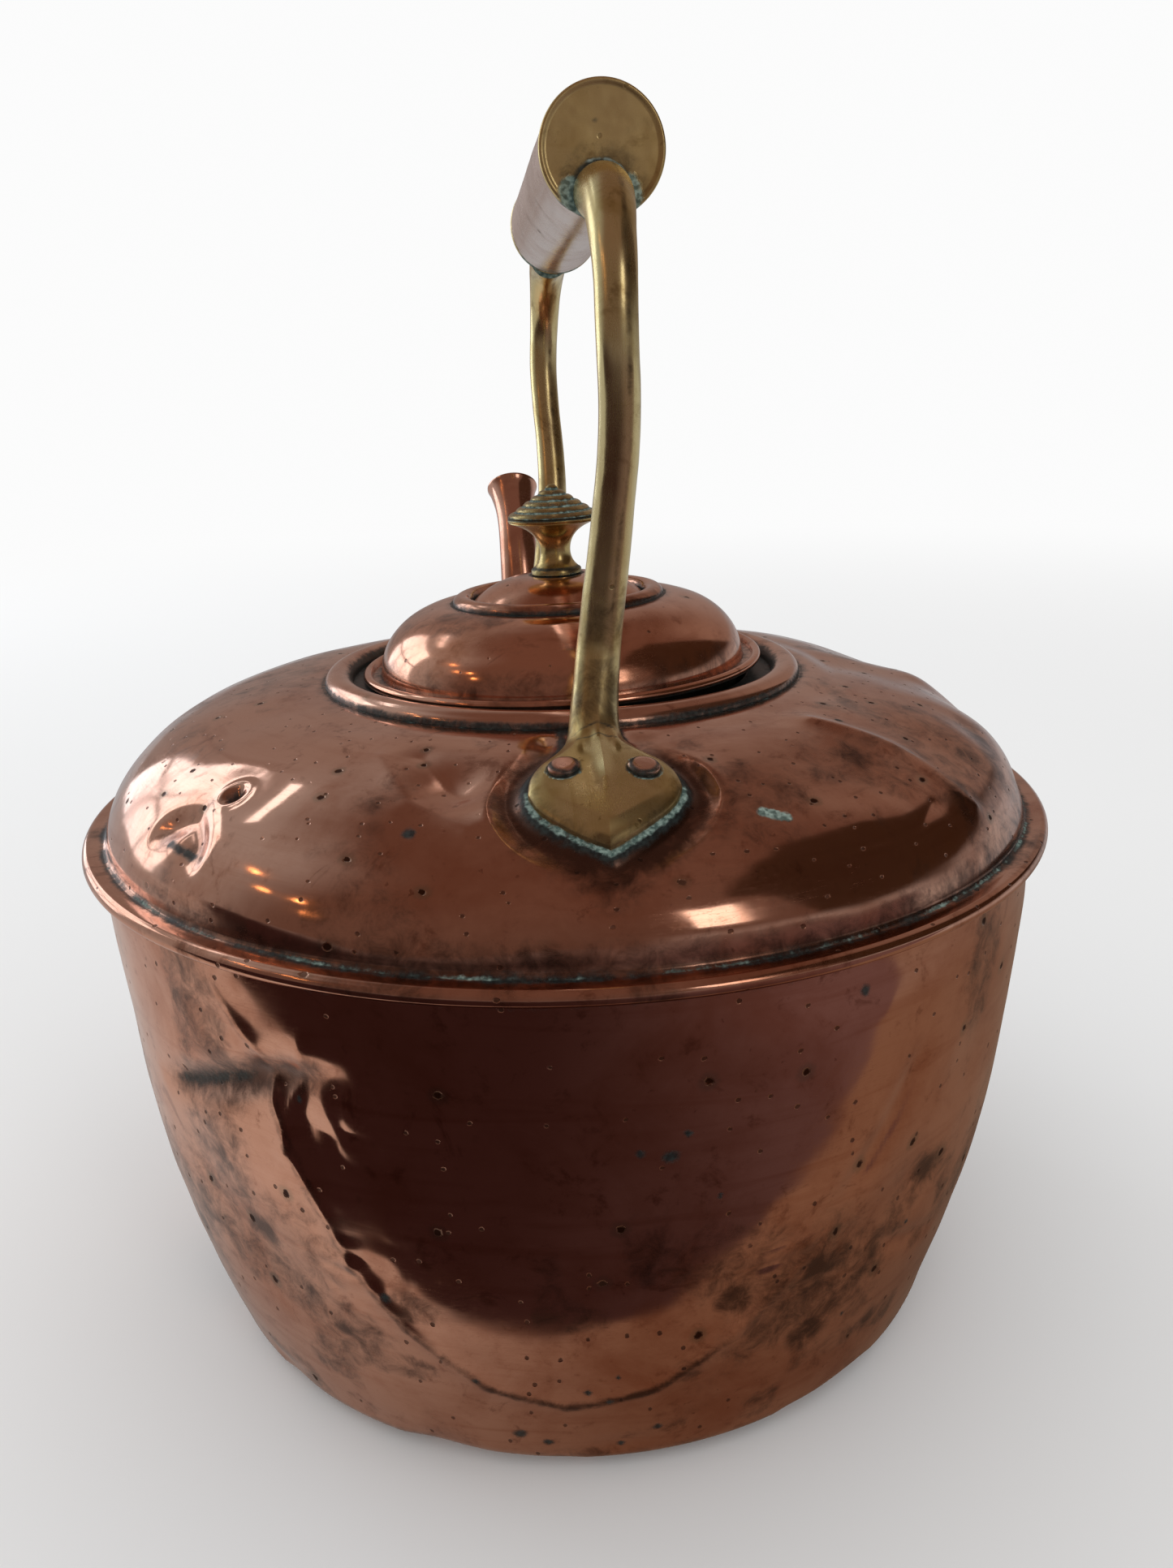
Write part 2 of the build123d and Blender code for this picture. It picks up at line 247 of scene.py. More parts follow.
def shell(rings, closed=False):
    """Points and faces of a skin over rings of points. closed joins the last ring to the first;
    otherwise a fan fills each end."""
    count, around = rings.shape[:2]
    points = rings.reshape(-1, 3)
    first = np.arange(count if closed else count - 1)[:, None] * around + np.arange(around)
    beside = first - first % around + (first + 1) % around
    above = (first + around) % (count * around)
    above_beside = (beside + around) % (count * around)
    faces = np.stack([first, beside, above_beside, above], -1).reshape(-1, 4).tolist()
    if closed:
        return points, faces
    start = count * around
    last = start - around
    points = np.concatenate([points, [rings[0].mean(0), rings[-1].mean(0)]])
    for j in range(around):
        following = (j + 1) % around
        faces.append((start, following, j))
        faces.append((start + 1, last + j, last + following))
    return points, faces


def build(name, shells, marks=(), even=None, sharp=40):
    """A piece from shells, smooth but for corners over sharp degrees. marks are functions that give
    the attributes of their names at the points, or at the even ones they had before the dents."""
    points = np.concatenate([part[0] for part in shells])
    even = points if even is None else even.reshape(-1, 3)
    faces = []
    base = 0
    for part_points, part_faces in shells:
        faces.extend([tuple(base + corner for corner in face) for face in part_faces])
        base += len(part_points)
    mesh = bpy.data.meshes.new(name)
    mesh.from_pydata((points * MM).tolist(), [], faces)
    for mark in marks:
        values = np.clip(mark(even), 0, 1).astype(np.float32)
        mesh.attributes.new(mark.__name__, "FLOAT", "POINT").data.foreach_set("value", values)
    work = bmesh.new()
    work.from_mesh(mesh)
    bmesh.ops.recalc_face_normals(work, faces=work.faces)
    work.to_mesh(mesh)
    work.free()
    mesh.shade_smooth()
    mesh.set_sharp_from_angle(angle=math.radians(sharp))
    piece = bpy.data.objects.new(name, mesh)
    bpy.context.scene.collection.objects.link(piece)
    return piece


def turned(outline, turns):
    """Rings of points from an outline of (radius, height) turned round the Z axis."""
    radius, height = np.asarray(outline, float).T
    angles = np.arange(turns) * 2 * math.pi / turns
    level = np.broadcast_to(height[:, None], (len(radius), turns))
    return np.stack([np.outer(radius, np.sin(angles)), -np.outer(radius, np.cos(angles)), level], -1)


def moved(rings, origin, up, side=(1, 0, 0)):
    """Rings built round the Z axis, put at origin with their Z along up and X near side."""
    up = np.array(up, float) / np.linalg.norm(up)
    side = np.array(side, float) - np.dot(side, up) * up
    side = side / np.linalg.norm(side)
    return np.asarray(origin) + rings @ np.stack([side, np.cross(up, side), up])


def settle(piece, body, paint, node):
    """Gives a piece its material and body, in place of the CAD node it stands for."""
    piece.data.materials.append(paint)
    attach(piece, body)
    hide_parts(node)


# ---- Places on the vessel ----


def wall_outline(inset, steps):
    """The wall's section from the seam down to the base, moved inwards by inset."""
    top = (wall_top_radius - inset, flange_low + inset)
    bow, way = bend_to(top, (0, -1), (wall_foot_radius - inset, wall_foot_height), steps)
    turn, _ = bend_to(bow[-1], way, (base_radius, base_top + inset), 10)
    return np.concatenate([bow, turn[1:]])


WALL = wall_outline(0, 60)[::-1]


def wall_reach(height):
    return np.interp(height, WALL[:, 1], WALL[:, 0])


def dome_height(reach):
    across = np.clip((reach - collar_radius) / dome_run, 0, 1)
    return seam_top + dome_rise * np.sqrt(1 - across**2)


def dome_normal(points):
    """The way out of the shoulder at points on or near it."""
    reach = reach_of(points)
    out = np.maximum(reach - collar_radius, 0) / dome_run**2
    up = np.maximum(points[..., 2] - seam_top, 1e-6) / dome_rise**2
    return unit(np.stack([out * points[..., 0] / reach, out * points[..., 1] / reach, up], -1))


def at_turn(turn, reach, height):
    angle = math.radians(turn)
    return np.array([reach * math.sin(angle), -reach * math.cos(angle), height])


def on_wall(turn, height):
    return at_turn(turn, wall_reach(height), height)


def on_dome(turn, reach):
    return at_turn(turn, reach, dome_height(reach))


def line_on(on, spots):
    """A line through spots, each put on a surface by on_wall or on_dome."""
    return [on(*spot) for spot in spots]


def foot_width(distance):
    """Half the foot's width at a distance from the kettle's axis."""
    flare = curve([(59, 4.8), (66, 5.2), (71, 6.3), (74.5, 8.2), (78, 11.1), (82, 13.4), (86, 14.1)], 60)
    taper = curve([(86, 14.1), (88.8, 13.0), (93, 9.1), (96, 4.7), (foot_tip, 0)], 40)
    outline = np.concatenate([flare, taper[1:]])
    return np.interp(distance, outline[:, 0], outline[:, 1], left=0, right=0)


def foot_drift(distance):
    return foot_slant * ease(distance, 84, foot_tip)


def off_foot(points):
    """Distance outside either foot's outline, seen from above; 0 inside."""
    distance = np.linspace(foot_back, foot_tip, 40)
    half = foot_width(distance)
    level = np.zeros_like(half)
    right = np.stack([half, distance, level], 1)
    outline = np.concatenate([right, right[::-1] * (-1, 1, 1)])
    flat = np.stack([points[..., 0], np.abs(points[..., 1]), np.zeros(points.shape[:-1])], -1)
    flat[..., 0] -= foot_drift(flat[..., 1])
    inside = np.abs(flat[..., 0]) < foot_width(flat[..., 1])
    return np.where(inside, 0, off_line(flat, outline))


# ---- Dents ----


def slit(points, line, size):
    """A soft groove along a line, fading towards its ends."""
    middle = (line[0] + line[-1]) / 2
    half = np.linalg.norm(line[-1] - line[0]) / 2
    return hill(off_line(points, line), size) * (1 - ease(off(points, middle), 0.5 * half, 1.25 * half))


def crumple(points, spot, size, cell):
    """Small creased bumps round a spot."""
    return (1 - np.abs(cloud(points + 13, cell)) * 2.2) * hill(off(points, spot), size)


# A hollow is its depth, its size and its spot. A crease is its depth, its width and the spots it runs
# through. A depth below 0 stands out of the surface.
PIT = (-48.6, 93.6)
SHOULDER_LIP = (2.0, 4.0, (-57, 103.5), (-51.5, 100.5), (-46, 105))
SHOULDER_HOLLOWS = (
    (0.6, 9, PIT),
    (-0.3, 6, (-49, 97.5)),
    (1.8, 8, (-19.5, 82)),
    (0.8, 10, (33, 88)),
    (0.9, 11, (52, 90)),
    (0.6, 8, (68, 98)),
    (1.5, 11, (104, 86)),
    (1.1, 9, (84, 98)),
    (-0.9, 7, (93, 92)),
)
SHOULDER_FOLDS = (
    (0.9, 3.5, (-27, 73), (-18, 84)),
    (-0.7, 2.6, (-33, 76), (-24, 88), (-15.5, 94)),
    (-1.2, 3.0, (39.9, 72.9), (44.5, 88), (46.9, 104.4)),
    (0.5, 3.0, (27.9, 103), (34.1, 104), (41, 101)),
)

FLANK = ((-42, 113), (-37, 101), (-36.5, 90), (-33.5, 75), (-30, 60))
GASH = ((-57, 81), (-47, 88.5), (-38, 95.5), (-27, 101))
BELLY = ((-29.6, 56), (-24, 42), (-16, 28), (-7, 22.5), (3, 26), (11, 36), (18.2, 49))
WALL_HOLLOWS = ((1.3, 13, (-42, 48)), (1.0, 12, (-52, 64)), (1.2, 9, (36, 60)), (0.9, 10, (45, 84)))
WALL_FOLDS = (
    (-0.55, 2.4, *FLANK),
    (-0.9, 3.5, (-30, 112), (-33, 96), (-36, 80)),
    (-0.75, 2.8, *BELLY),
)
WALL_SLITS = (
    (2.4, 4.2, *GASH),
    (0.9, 3.5, (33, 96), (29, 80), (24, 66)),
    (0.8, 3.0, (24, 58), (34, 44), (44, 38)),
)


def pressed(points, on, hollows, folds, slits):
    """How deep the listed hollows, sharp folds and soft slits are at each point."""
    depth = np.zeros(points.shape[:-1])
    for deep, size, spot in hollows:
        depth += deep * near(points, on(*spot), size)
    for deep, width, *spots in folds:
        depth += deep * fold(off_line(points, line_on(on, spots)), width)
    for deep, width, *spots in slits:
        depth += deep * slit(points, line_on(on, spots), width)
    return depth


def shoulder_dents(points):
    """How far the shoulder is pushed in at each point."""
    pit = off(points, on_dome(*PIT))
    depth = 2.1 * hill(pit, 1.8) - 0.3 * hill(pit - 3.4, 1.2)
    depth += pressed(points, on_dome, SHOULDER_HOLLOWS, SHOULDER_FOLDS, [SHOULDER_LIP])
    foot = off_foot(points)
    low_side = ease(np.abs(points[..., 1]), 70, 84)
    depth += (0.6 + 0.9 * low_side) * hill(foot - 4.0, 3.2) * ease(foot, 0, 2.5)
    rim = near(points, on_dome(-13, 88), 9) + 0.7 * near(points, on_dome(14.5, 83), 8)
    depth -= 1.35 * rim * fold(np.abs(foot - 7.6), 1.9) * ease(foot, 2, 5)
    depth += 0.6 * cloud(points, 34) + 0.26 * cloud(points, 14)
    turn = turn_of(points)
    depth += (0.5 + 0.8 * cloud(points + 7, 21)) * ease(turn, 48, 62) * (1 - ease(turn, 108, 130))
    calm = ease(reach_of(points), 60, 67) * ease(points[..., 2], seam_top + 1.5, seam_top + 7)
    return depth * calm * ease(foot, 0, 2)


def wall_dents(points):
    """How far the wall is pushed in at each point."""
    depth = pressed(points, on_wall, WALL_HOLLOWS, WALL_FOLDS, WALL_SLITS)
    aside = np.radians(turn_of(points) + 33.5) * wall_top_radius
    wedge = np.where(aside > 0, hill(aside, 6.5), hill(aside, 22)) * hill(points[..., 2] - 90, 10)
    depth += 1.5 * wedge + 0.25 * crumple(points, on_wall(-29, 88), 9, 7)
    depth += 0.34 * crumple(points, on_wall(-28, 53), 9, 5) + 0.34 * crumple(points, on_wall(18.5, 54), 8, 5)
    depth += 0.8 * cloud(points, 46) + 0.3 * cloud(points, 17) + 0.08 * cloud(points, 7)
    calm = 1 - ease(points[..., 2], seam_bottom - 14, seam_bottom - 2)
    root = off(points, on_wall(180, spout_root_height))
    ragged = 1.6 * np.clip(cloud(points, 13) + 0.2, 0, 1) * (1 - ease(points[..., 2], 4, 13))
    return (depth * ease(points[..., 2], 0, 14) + ragged) * calm * ease(root, 29, 42)


# ---- Vessel ----


def shoulder_rings():
    """The shoulder's two skins, its neck and the hem folded round the wall's flange."""
    bead = 1.75
    bead_middle = (rim_radius - bead, (seam_top + seam_bottom) / 2)
    hem_radius = wall_top_radius + gap
    outer = [
        [(hem_radius, seam_bottom + sheet), (hem_radius, seam_bottom + 0.3)],
        [(hem_radius + 0.3, seam_bottom), (rim_radius - 1.6, seam_bottom)],
        [(rim_radius - 1.0, seam_bottom + 0.18), (rim_radius - 0.62, seam_bottom + 0.62)],
        oval(bead_middle, bead, bead, -28, 90, 16),
        [(rim_radius - 3.1, seam_top), (groove_radius + 1.3, seam_top)],
        oval((groove_radius + 1.3, seam_top + 1.3), 1.3, 1.3, -100, -180, 6)[1:],
        oval((collar_radius, seam_top), dome_run, dome_rise, 3.6, 90, 120),
        [(mouth_radius + 2.5, crown), (mouth_radius + 1.1, crown)],
        oval((mouth_radius + sheet, crown - sheet), sheet, sheet, 100, 180, 6)[1:],
        [(mouth_radius, neck_low), (mouth_radius + sheet, neck_low), (mouth_radius + sheet, crown - sheet)],
        oval((collar_radius, seam_top), dome_run - sheet, dome_rise - sheet, 90, 4, 50),
        [(groove_radius - sheet, seam_top - sheet), (rim_radius - sheet, seam_top - sheet)],
        [(rim_radius - sheet, seam_bottom + sheet)],
    ]
    return turned(np.concatenate(outer), FINE)


def make_shoulder(paint):
    even = shoulder_rings()
    rings = even - dome_normal(even) * shoulder_dents(even)[..., None]

    def smoke_and_shade(points):
        reach = reach_of(points)
        turn = turn_of(points)
        level = points[:, 2] - seam_top + 2.5 * cloud(points * FLAT, 19) + 1.0 * cloud(points * FLAT, 5)
        # Painted shade: darker in the groove, less so where the window's reflection runs along it, in the
        # hollow round each foot and round the collar's foot.
        glint = 1 - 0.7 * ease(-turn, 44, 62) * (1 - ease(-turn, 82, 98))
        groove = 0.68 * glint * (1 - ease(level, 0.5, 9)) * (reach < groove_radius + 0.8)
        foot = off_foot(points)
        moat = 0.95 * hill(foot - 2.5, 4.6) * ease(np.abs(points[:, 1]), 60, 76) * ease(foot, 0, 0.5)
        under_collar = 0.6 * hill(reach - collar_radius, 2.2)
        lip = line_on(on_dome, ((-55, 104.5), (-50.5, 101.5), (-46.5, 105.5)))
        dents = 0.5 * hill(off_line(points, lip), 2.5) + 0.5 * near(points, on_dome(*PIT), 4)
        side = 0.38 * ease(cloud(points + 90, 23), -0.1, 0.6) + 0.3 * ease(cloud(points + 61, 8), 0.15, 0.7)
        return most(groove, moat, under_collar, dents, side)

    def dark(points):
        reach = reach_of(points)
        uneven = 0.7 + 0.25 * cloud(points * FLAT, 7)
        groove = uneven * hill(reach - groove_radius - 0.9, 1.3) * hill(points[:, 2] - seam_top, 2.2)
        around_foot = 0.9 * hill(off_foot(points) - 0.9, 1.5)
        lip = off_line(points, line_on(on_dome, ((-53, 104.7), (-48, 105))))
        pits = near(points, on_dome(*PIT), 2.3) + 0.9 * hill(lip, 1.3)
        spots = near(points, on_dome(-22, 95), 1.6) + near(points, on_dome(44, 76), 1.3)
        top = points[:, 2] - crown
        collar_edge = 0.65 * hill(reach - collar_radius - 0.4, 1.0) * ease(top, -3, -1)
        # Painted shadow on the neck's top inside the collar, in the gap under the lid's flange.
        lid_gap_shadow = 0.95 * (1 - ease(reach - collar_radius, -5.5, -4)) * (top > -4)
        return most(groove, around_foot, pits, spots, collar_edge, lid_gap_shadow)

    def green(points):
        reach = reach_of(points)
        around_foot = 0.8 * hill(off_foot(points) - 0.4, 0.9) * ease(np.abs(points[:, 1]), 80, 86)
        spot = hill(off_line(points, line_on(on_dome, ((17.2, 94.3), (19.6, 96.2)))), 1.5)
        patchy = 0.42 + 0.3 * cloud(points * FLAT, 9)
        line = patchy * hill(reach - groove_radius - 0.7, 0.7) * (points[:, 2] < seam_top + 1.6)
        pit = 0.5 * near(points, on_dome(-47.6, 95.8), 1.3)
        collar_edge = 0.5 * hill(reach - collar_radius - 0.2, 0.6)
        return most(around_foot, spot, line, pit, collar_edge)

    piece = build("shoulder_skin", [shell(rings, closed=True)], (dark, green, smoke_and_shade), even)
    settle(piece, "vessel", paint, "shoulder")


def pierce(piece, rings):
    """Cuts a hole the shape of rings through a piece."""
    cutter = build("cutter", [shell(rings)])
    cut = piece.modifiers.new("hole", "BOOLEAN")
    cut.operation = "DIFFERENCE"
    cut.solver = "MANIFOLD"
    cut.object = cutter
    bpy.context.view_layer.update()
    evaluated = piece.evaluated_get(bpy.context.evaluated_depsgraph_get())
    mesh = bpy.data.meshes.new_from_object(evaluated)
    piece.modifiers.clear()
    mesh.materials.clear()
    old = piece.data
    piece.data = mesh
    mesh.name = old.name
    bpy.data.meshes.remove(old)
    bpy.data.objects.remove(cutter)
    mesh.shade_smooth()
    mesh.set_sharp_from_angle(angle=math.radians(40))


def make_wall(paint):
    lap = base_radius - base_lap
    outline = [
        wall_outline(0, 150),
        [(lap, base_top), (lap, base_top + sheet)],
        wall_outline(sheet, 70)[::-1],
        [(flange_radius, flange_top), (flange_radius, flange_low)],
    ]
    even = turned(np.concatenate(outline), FINE)
    rings = even - unit(even * FLAT) * wall_dents(even)[..., None]

    def dark(points):
        spots = [(23.6, 112.7, 1.5), (4, 86.3, 2.0), (5.6, 91, 1.0), (-12.8, 12.7, 1.9), (1, 87.6, 1.2)]
        spots += [(-2, 24, 1.2), (-9.5, 10, 1.4), (4, 13, 1.3), (-26, 50, 1.5), (9, 76, 0.9)]
        spots += [(-17, 30, 1.1), (-4.5, 27, 1.2), (-1, 31, 0.9), (-0.5, 8, 1.1), (-33, 93, 1.0)]
        spots += [(28, 30, 1.0), (37, 47, 0.9)]
        total = sum(0.95 * near(points, on_wall(turn, height), size) for turn, height, size in spots)
        # Painted shade: dark in the gash's crease and in a band under the rim's bead.
        total += 0.8 * slit(points, line_on(on_wall, GASH[:3]), 2.2)
        bottom = (0.55 + 0.5 * cloud(points, 9)) * (1 - ease(points[:, 2], 0.6, 3.2))
        under_rim = 0.5 * hill(points[:, 2] - seam_bottom, 2.5)
        return most(total, bottom, under_rim)

    def smoke_and_shade(points):
        foot = 0.6 * (1 - ease(points[:, 2] + 2 * cloud(points, 11), 1, 9))
        # Painted shade: darker along the gash, the belly crease and the flank crease.
        gash = 0.9 * slit(points, line_on(on_wall, GASH), 4.5)
        belly = 0.9 * hill(off_line(points, line_on(on_wall, BELLY)), 1.3) * (0.8 + 0.5 * cloud(points, 10))
        flank = 0.45 * hill(off_line(points, line_on(on_wall, FLANK)) - 1.0, 1.0)
        spots = ((-43, 56, 6), (-31, 37, 8), (-38, 45, 6), (-47, 71, 6), (30, 42, 8), (39, 60, 7))
        patches = most(*(near(points, on_wall(turn, height), size) for turn, height, size in spots))
        patches = patches * (0.75 + 0.4 * cloud(points, 4))
        drift = 0.6 * ease(cloud(points + 40, 27), -0.15, 0.5) + 0.45 * ease(cloud(points + 15, 9), 0.05, 0.6)
        low = drift * (1 - ease(points[:, 2], 45, 85))
        sides = 0.5 * ease(cloud(points * (1, 1, 0.45), 16), 0.0, 0.6) * ease(np.abs(points[:, 0]), 40, 75)
        return most(foot, gash, belly, flank, patches, low, sides)

    def green(points):
        bottom = (0.35 + 0.5 * cloud(points + 30, 6)) * (1 - ease(points[:, 2], 0.4, 2.2))
        return most(near(points, on_wall(21, 3), 1.7) + 0.5 * near(points, on_wall(-29, 99), 1.4), bottom)

    piece = build("wall_skin", [shell(rings, closed=True)], (dark, green, smoke_and_shade), even)
    pierce(piece, spout_bore())
    settle(piece, "vessel", paint, "body_wall")


def make_collar(paint):
    middle = (collar_radius - collar_width / 2, collar_low)
    rings = turned(oval(middle, collar_width / 2, collar_rise, 0, 180, 26), 360)
    rings[1:-1] += 0.06 * cloud(rings[1:-1], 21)[..., None] * (0, 0, 1)

    def dark(points):
        # Painted shade on the collar's inner side, by the gap round the lid, and a dark line at its outer
        # foot.
        inside = reach_of(points) - collar_radius
        return most(0.95 * hill(inside + collar_width, 1.9), 0.8 * hill(inside, 0.5))

    piece = build("collar_ring", [shell(rings, closed=True)], [dark])
    settle(piece, "vessel", paint, "lid_collar")


# ---- Spout ----

SPOUT_START = ((0, 90, 44), (0, 113, 55), (-0.3, 134, 82))
SPOUT_LINE = curve((*SPOUT_START, (-1.1, 145, 125), (-2.0, 153, 165), (-2.6, 167, 185)), 241)
SPOUT_PLACES = (0, 0.15, 0.32, 0.52, 0.72, 0.86, 0.95, 1)
SPOUT_RADII = (18, 15.5, 12, 9.2, 7.4, 6.6, 7.0, 9.0)
FILLET_TOP = 0.155  # place along the spout where the curve from its flange ends
FLANGE_WIDTH = 21.0  # half sizes of the flange on the wall
FLANGE_HEIGHT = 24.5


def spout_ring(place, inset, turns=96):
    """A ring of the spout at a place from 0 at its root to 1 at its lip."""
    step = place * (len(SPOUT_LINE) - 1)
    at = min(int(step), len(SPOUT_LINE) - 2)
    middle = SPOUT_LINE[at] + (step - at) * (SPOUT_LINE[at + 1] - SPOUT_LINE[at])
    way = SPOUT_LINE[min(at + 2, len(SPOUT_LINE) - 1)] - SPOUT_LINE[max(at - 1, 0)]
    places = curve(np.stack([SPOUT_PLACES, SPOUT_RADII], 1) * (100, 1), 200)
    radius = np.interp(place * 100, places[:, 0], places[:, 1]) - inset
    ring = turned([(radius, 0)], turns)
    return moved(ring, middle, way)[0]


def spout_bore():
    """Rings that fill the spout's root, to cut its hole in the wall."""
    return np.array([spout_ring(place, spout_sheet) for place in np.linspace(0, 0.2, 12)])


def onto_wall(x, height, lift):
    """Points on the wall under the spout, at a distance x to the side."""
    reach = wall_reach(height) + lift
    return np.stack([x, np.sqrt(reach**2 - x**2), height], -1)


def flange_place(share, x, height, lift):
    """A point of the flange, scaled about its middle."""
    return onto_wall(x * share, spout_root_height + (height - spout_root_height) * share, lift)


def make_spout(paint):
    root = spout_ring(FILLET_TOP, 0)
    step = spout_ring(FILLET_TOP + 0.02, 0) - root
    back = (root[:, 1] - wall_reach(root[:, 2]))[:, None] / step[:, 1:2]
    foot = root - step * back
    inner_foot = spout_ring(FILLET_TOP, spout_sheet) - step * back
    angles = np.arctan2(foot[:, 0], foot[:, 2] - spout_root_height)
    flange_x = FLANGE_WIDTH * np.sin(angles)
    flange_z = spout_root_height + FLANGE_HEIGHT * np.cos(angles)
    outer = [
        onto_wall(flange_x, flange_z, 2 * gap),
        onto_wall(flange_x, flange_z, spout_sheet - 0.3),
        flange_place(0.985, flange_x, flange_z, spout_sheet),
    ]
    for part in (0.3, 0.6):
        x = flange_x + part * (foot[:, 0] - flange_x)
        height = flange_z + part * (foot[:, 2] - flange_z)
        outer.append(onto_wall(x, height, spout_sheet + 0.25 * part))
    start = outer[-1]
    bend = onto_wall(foot[:, 0], foot[:, 2], spout_sheet)
    for part in np.linspace(0.1, 1, 12):
        outer.append((1 - part) ** 2 * start + 2 * part * (1 - part) * bend + part**2 * root)
    outer += [spout_ring(place, 0) for place in np.linspace(FILLET_TOP + 0.01, 0.985, 90)]
    lip = spout_ring(0.997, -0.1)
    middle = (lip + spout_ring(0.99, spout_sheet)) / 2
    out = (lip - middle) * 1.25
    up = unit(SPOUT_LINE[-1] - SPOUT_LINE[-2]) * 0.75
    roll = [middle + math.cos(a) * out + math.sin(a) * up for a in np.radians(np.linspace(-50, 180, 12))]
    inner = [spout_ring(place, spout_sheet) for place in np.linspace(0.98, FILLET_TOP + 0.005, 80)]
    last = onto_wall(inner_foot[:, 0], inner_foot[:, 2], 2 * gap)
    rings = np.array(outer + roll + inner + [0.5 * (inner[-1] + last), last])
    swell = 0.12 * cloud(rings, 18) * ease(rings[..., 1], 112, 122)
    rings = rings + unit(rings - rings.mean(1, keepdims=True)) * swell[..., None]

    def dark(points):
        x = points[:, 0] / (FLANGE_WIDTH + 0.6)
        z = (points[:, 2] - spout_root_height) / (FLANGE_HEIGHT + 0.6)
        rim = hill((np.hypot(x, z) - 1) * 20, 1.0) * (points[:, 1] < 116)
        # Painted shade inside the spout's mouth, besides a dark line round the flange.
        return most(rim, 0.8 * near(points, roll[6].mean(0), 5.5))

    piece = build("spout_tube", [shell(rings, closed=True)], [dark])
    settle(piece, "vessel", paint, "spout")


# ---- Lid ----

lid_ring_height = lid_sheet + lid_dome_rise
lid_cap_height = lid_ring_height + lid_cap_rise
lid_ceiling = lid_cap_height - lid_sheet


def on_lid(rings):
    return moved(rings, lid_seat, lid_up)


def lid_reach(points):
    """Distance from the lid's axis."""
    return np.linalg.norm(np.cross(points - lid_seat, lid_up), axis=-1)


def lid_level(points):
    """Height over the lid's seat, along its axis."""
    return (points - lid_seat) @ lid_up


def make_lid(paint):
    tenon_hole = TENON + gap
    ring_run = (lid_ring_outer - lid_ring_inner) / 2
    ring_middle = (lid_ring_inner + ring_run, lid_ring_height)
    run = lid_dome_radius - lid_ring_outer
    cap, _ = bend_to((knob_seat, lid_cap_height), (1, 0), (lid_ring_inner + 0.15, lid_ring_height), 22)
    under_end = (lid_ring_inner, lid_ring_height - lid_sheet)
    under_cap, _ = bend_to((knob_seat, lid_ceiling), (1, 0), under_end, 14)
    outline = [
        [(tenon_hole, lid_ceiling), (tenon_hole, lid_cap_height)],
        cap,
        oval(ring_middle, ring_run - 0.15, lid_ring_rise, 176, 4, 22),
        oval((lid_ring_outer, lid_sheet), run, lid_dome_rise, 89, 3, 60),
        [(lid_dome_radius + 0.35, lid_sheet - 0.1), (lid_flange - 2.4, lid_sheet - 0.1)],
        oval((lid_flange - lid_bead, lid_bead), lid_bead, lid_bead, 150, -90, 18),
        oval((lid_ring_outer, 0), run - lid_sheet, lid_dome_rise, 0, 90, 30),
        under_cap[::-1],
    ]
    rings = turned(np.concatenate(outline), 480)
    reach = reach_of(rings)
    lumps = 0.2 * cloud(rings + 50, 17) + 0.05 * cloud(rings, 6)
    bend = 0.12 * np.sin(2 * np.arctan2(rings[..., 1], rings[..., 0])) * ease(reach, 30, 48)
    rings[..., 2] += lumps * ease(reach, 27, 31) * (1 - ease(reach, 39, 43)) + bend

    def dark(points):
        out = lid_reach(points)
        level = lid_level(points)
        corner = hill(out - lid_dome_radius - 1.1, 1.0) * (level < 2.5)
        creases = 0.9 * hill(out - lid_ring_outer - 0.1, 0.6) + 0.9 * hill(out - lid_ring_inner, 0.6)
        knob_foot = 0.9 * hill(out - 6.2, 0.8)
        # Painted shadow on the flange's edge and underside, over the gap in the collar.
        edge = 0.75 * hill(level - 0.1, 0.8) * (out > 45)
        spots = near(points, on_lid(np.array([8.0, -41.0, 6.0])), 1.1)
        spots += 0.9 * near(points, on_lid(np.array([-11.0, -38.0, 9.5])), 0.9)
        return most(most(corner, creases) * (level > 0.5), knob_foot, edge, spots)

    def smoke_and_shade(points):
        out = lid_reach(points)
        # Painted shade with the smoke: darker in the creases round the ring and in the corner at the dome's
        # foot.
        creases = 0.55 * hill(out - lid_ring_outer, 2.0) + 0.5 * hill(out - lid_ring_inner, 1.5)
        flange = 0.5 * hill(out - lid_dome_radius - 0.5, 2.2)
        return most(creases, flange, 0.45 * ease(cloud(points + 5, 15), 0.05, 0.6))

    piece = build("lid_skin", [shell(on_lid(rings), closed=True)], (dark, smoke_and_shade))
    settle(piece, "lid", paint, "lid_dome")


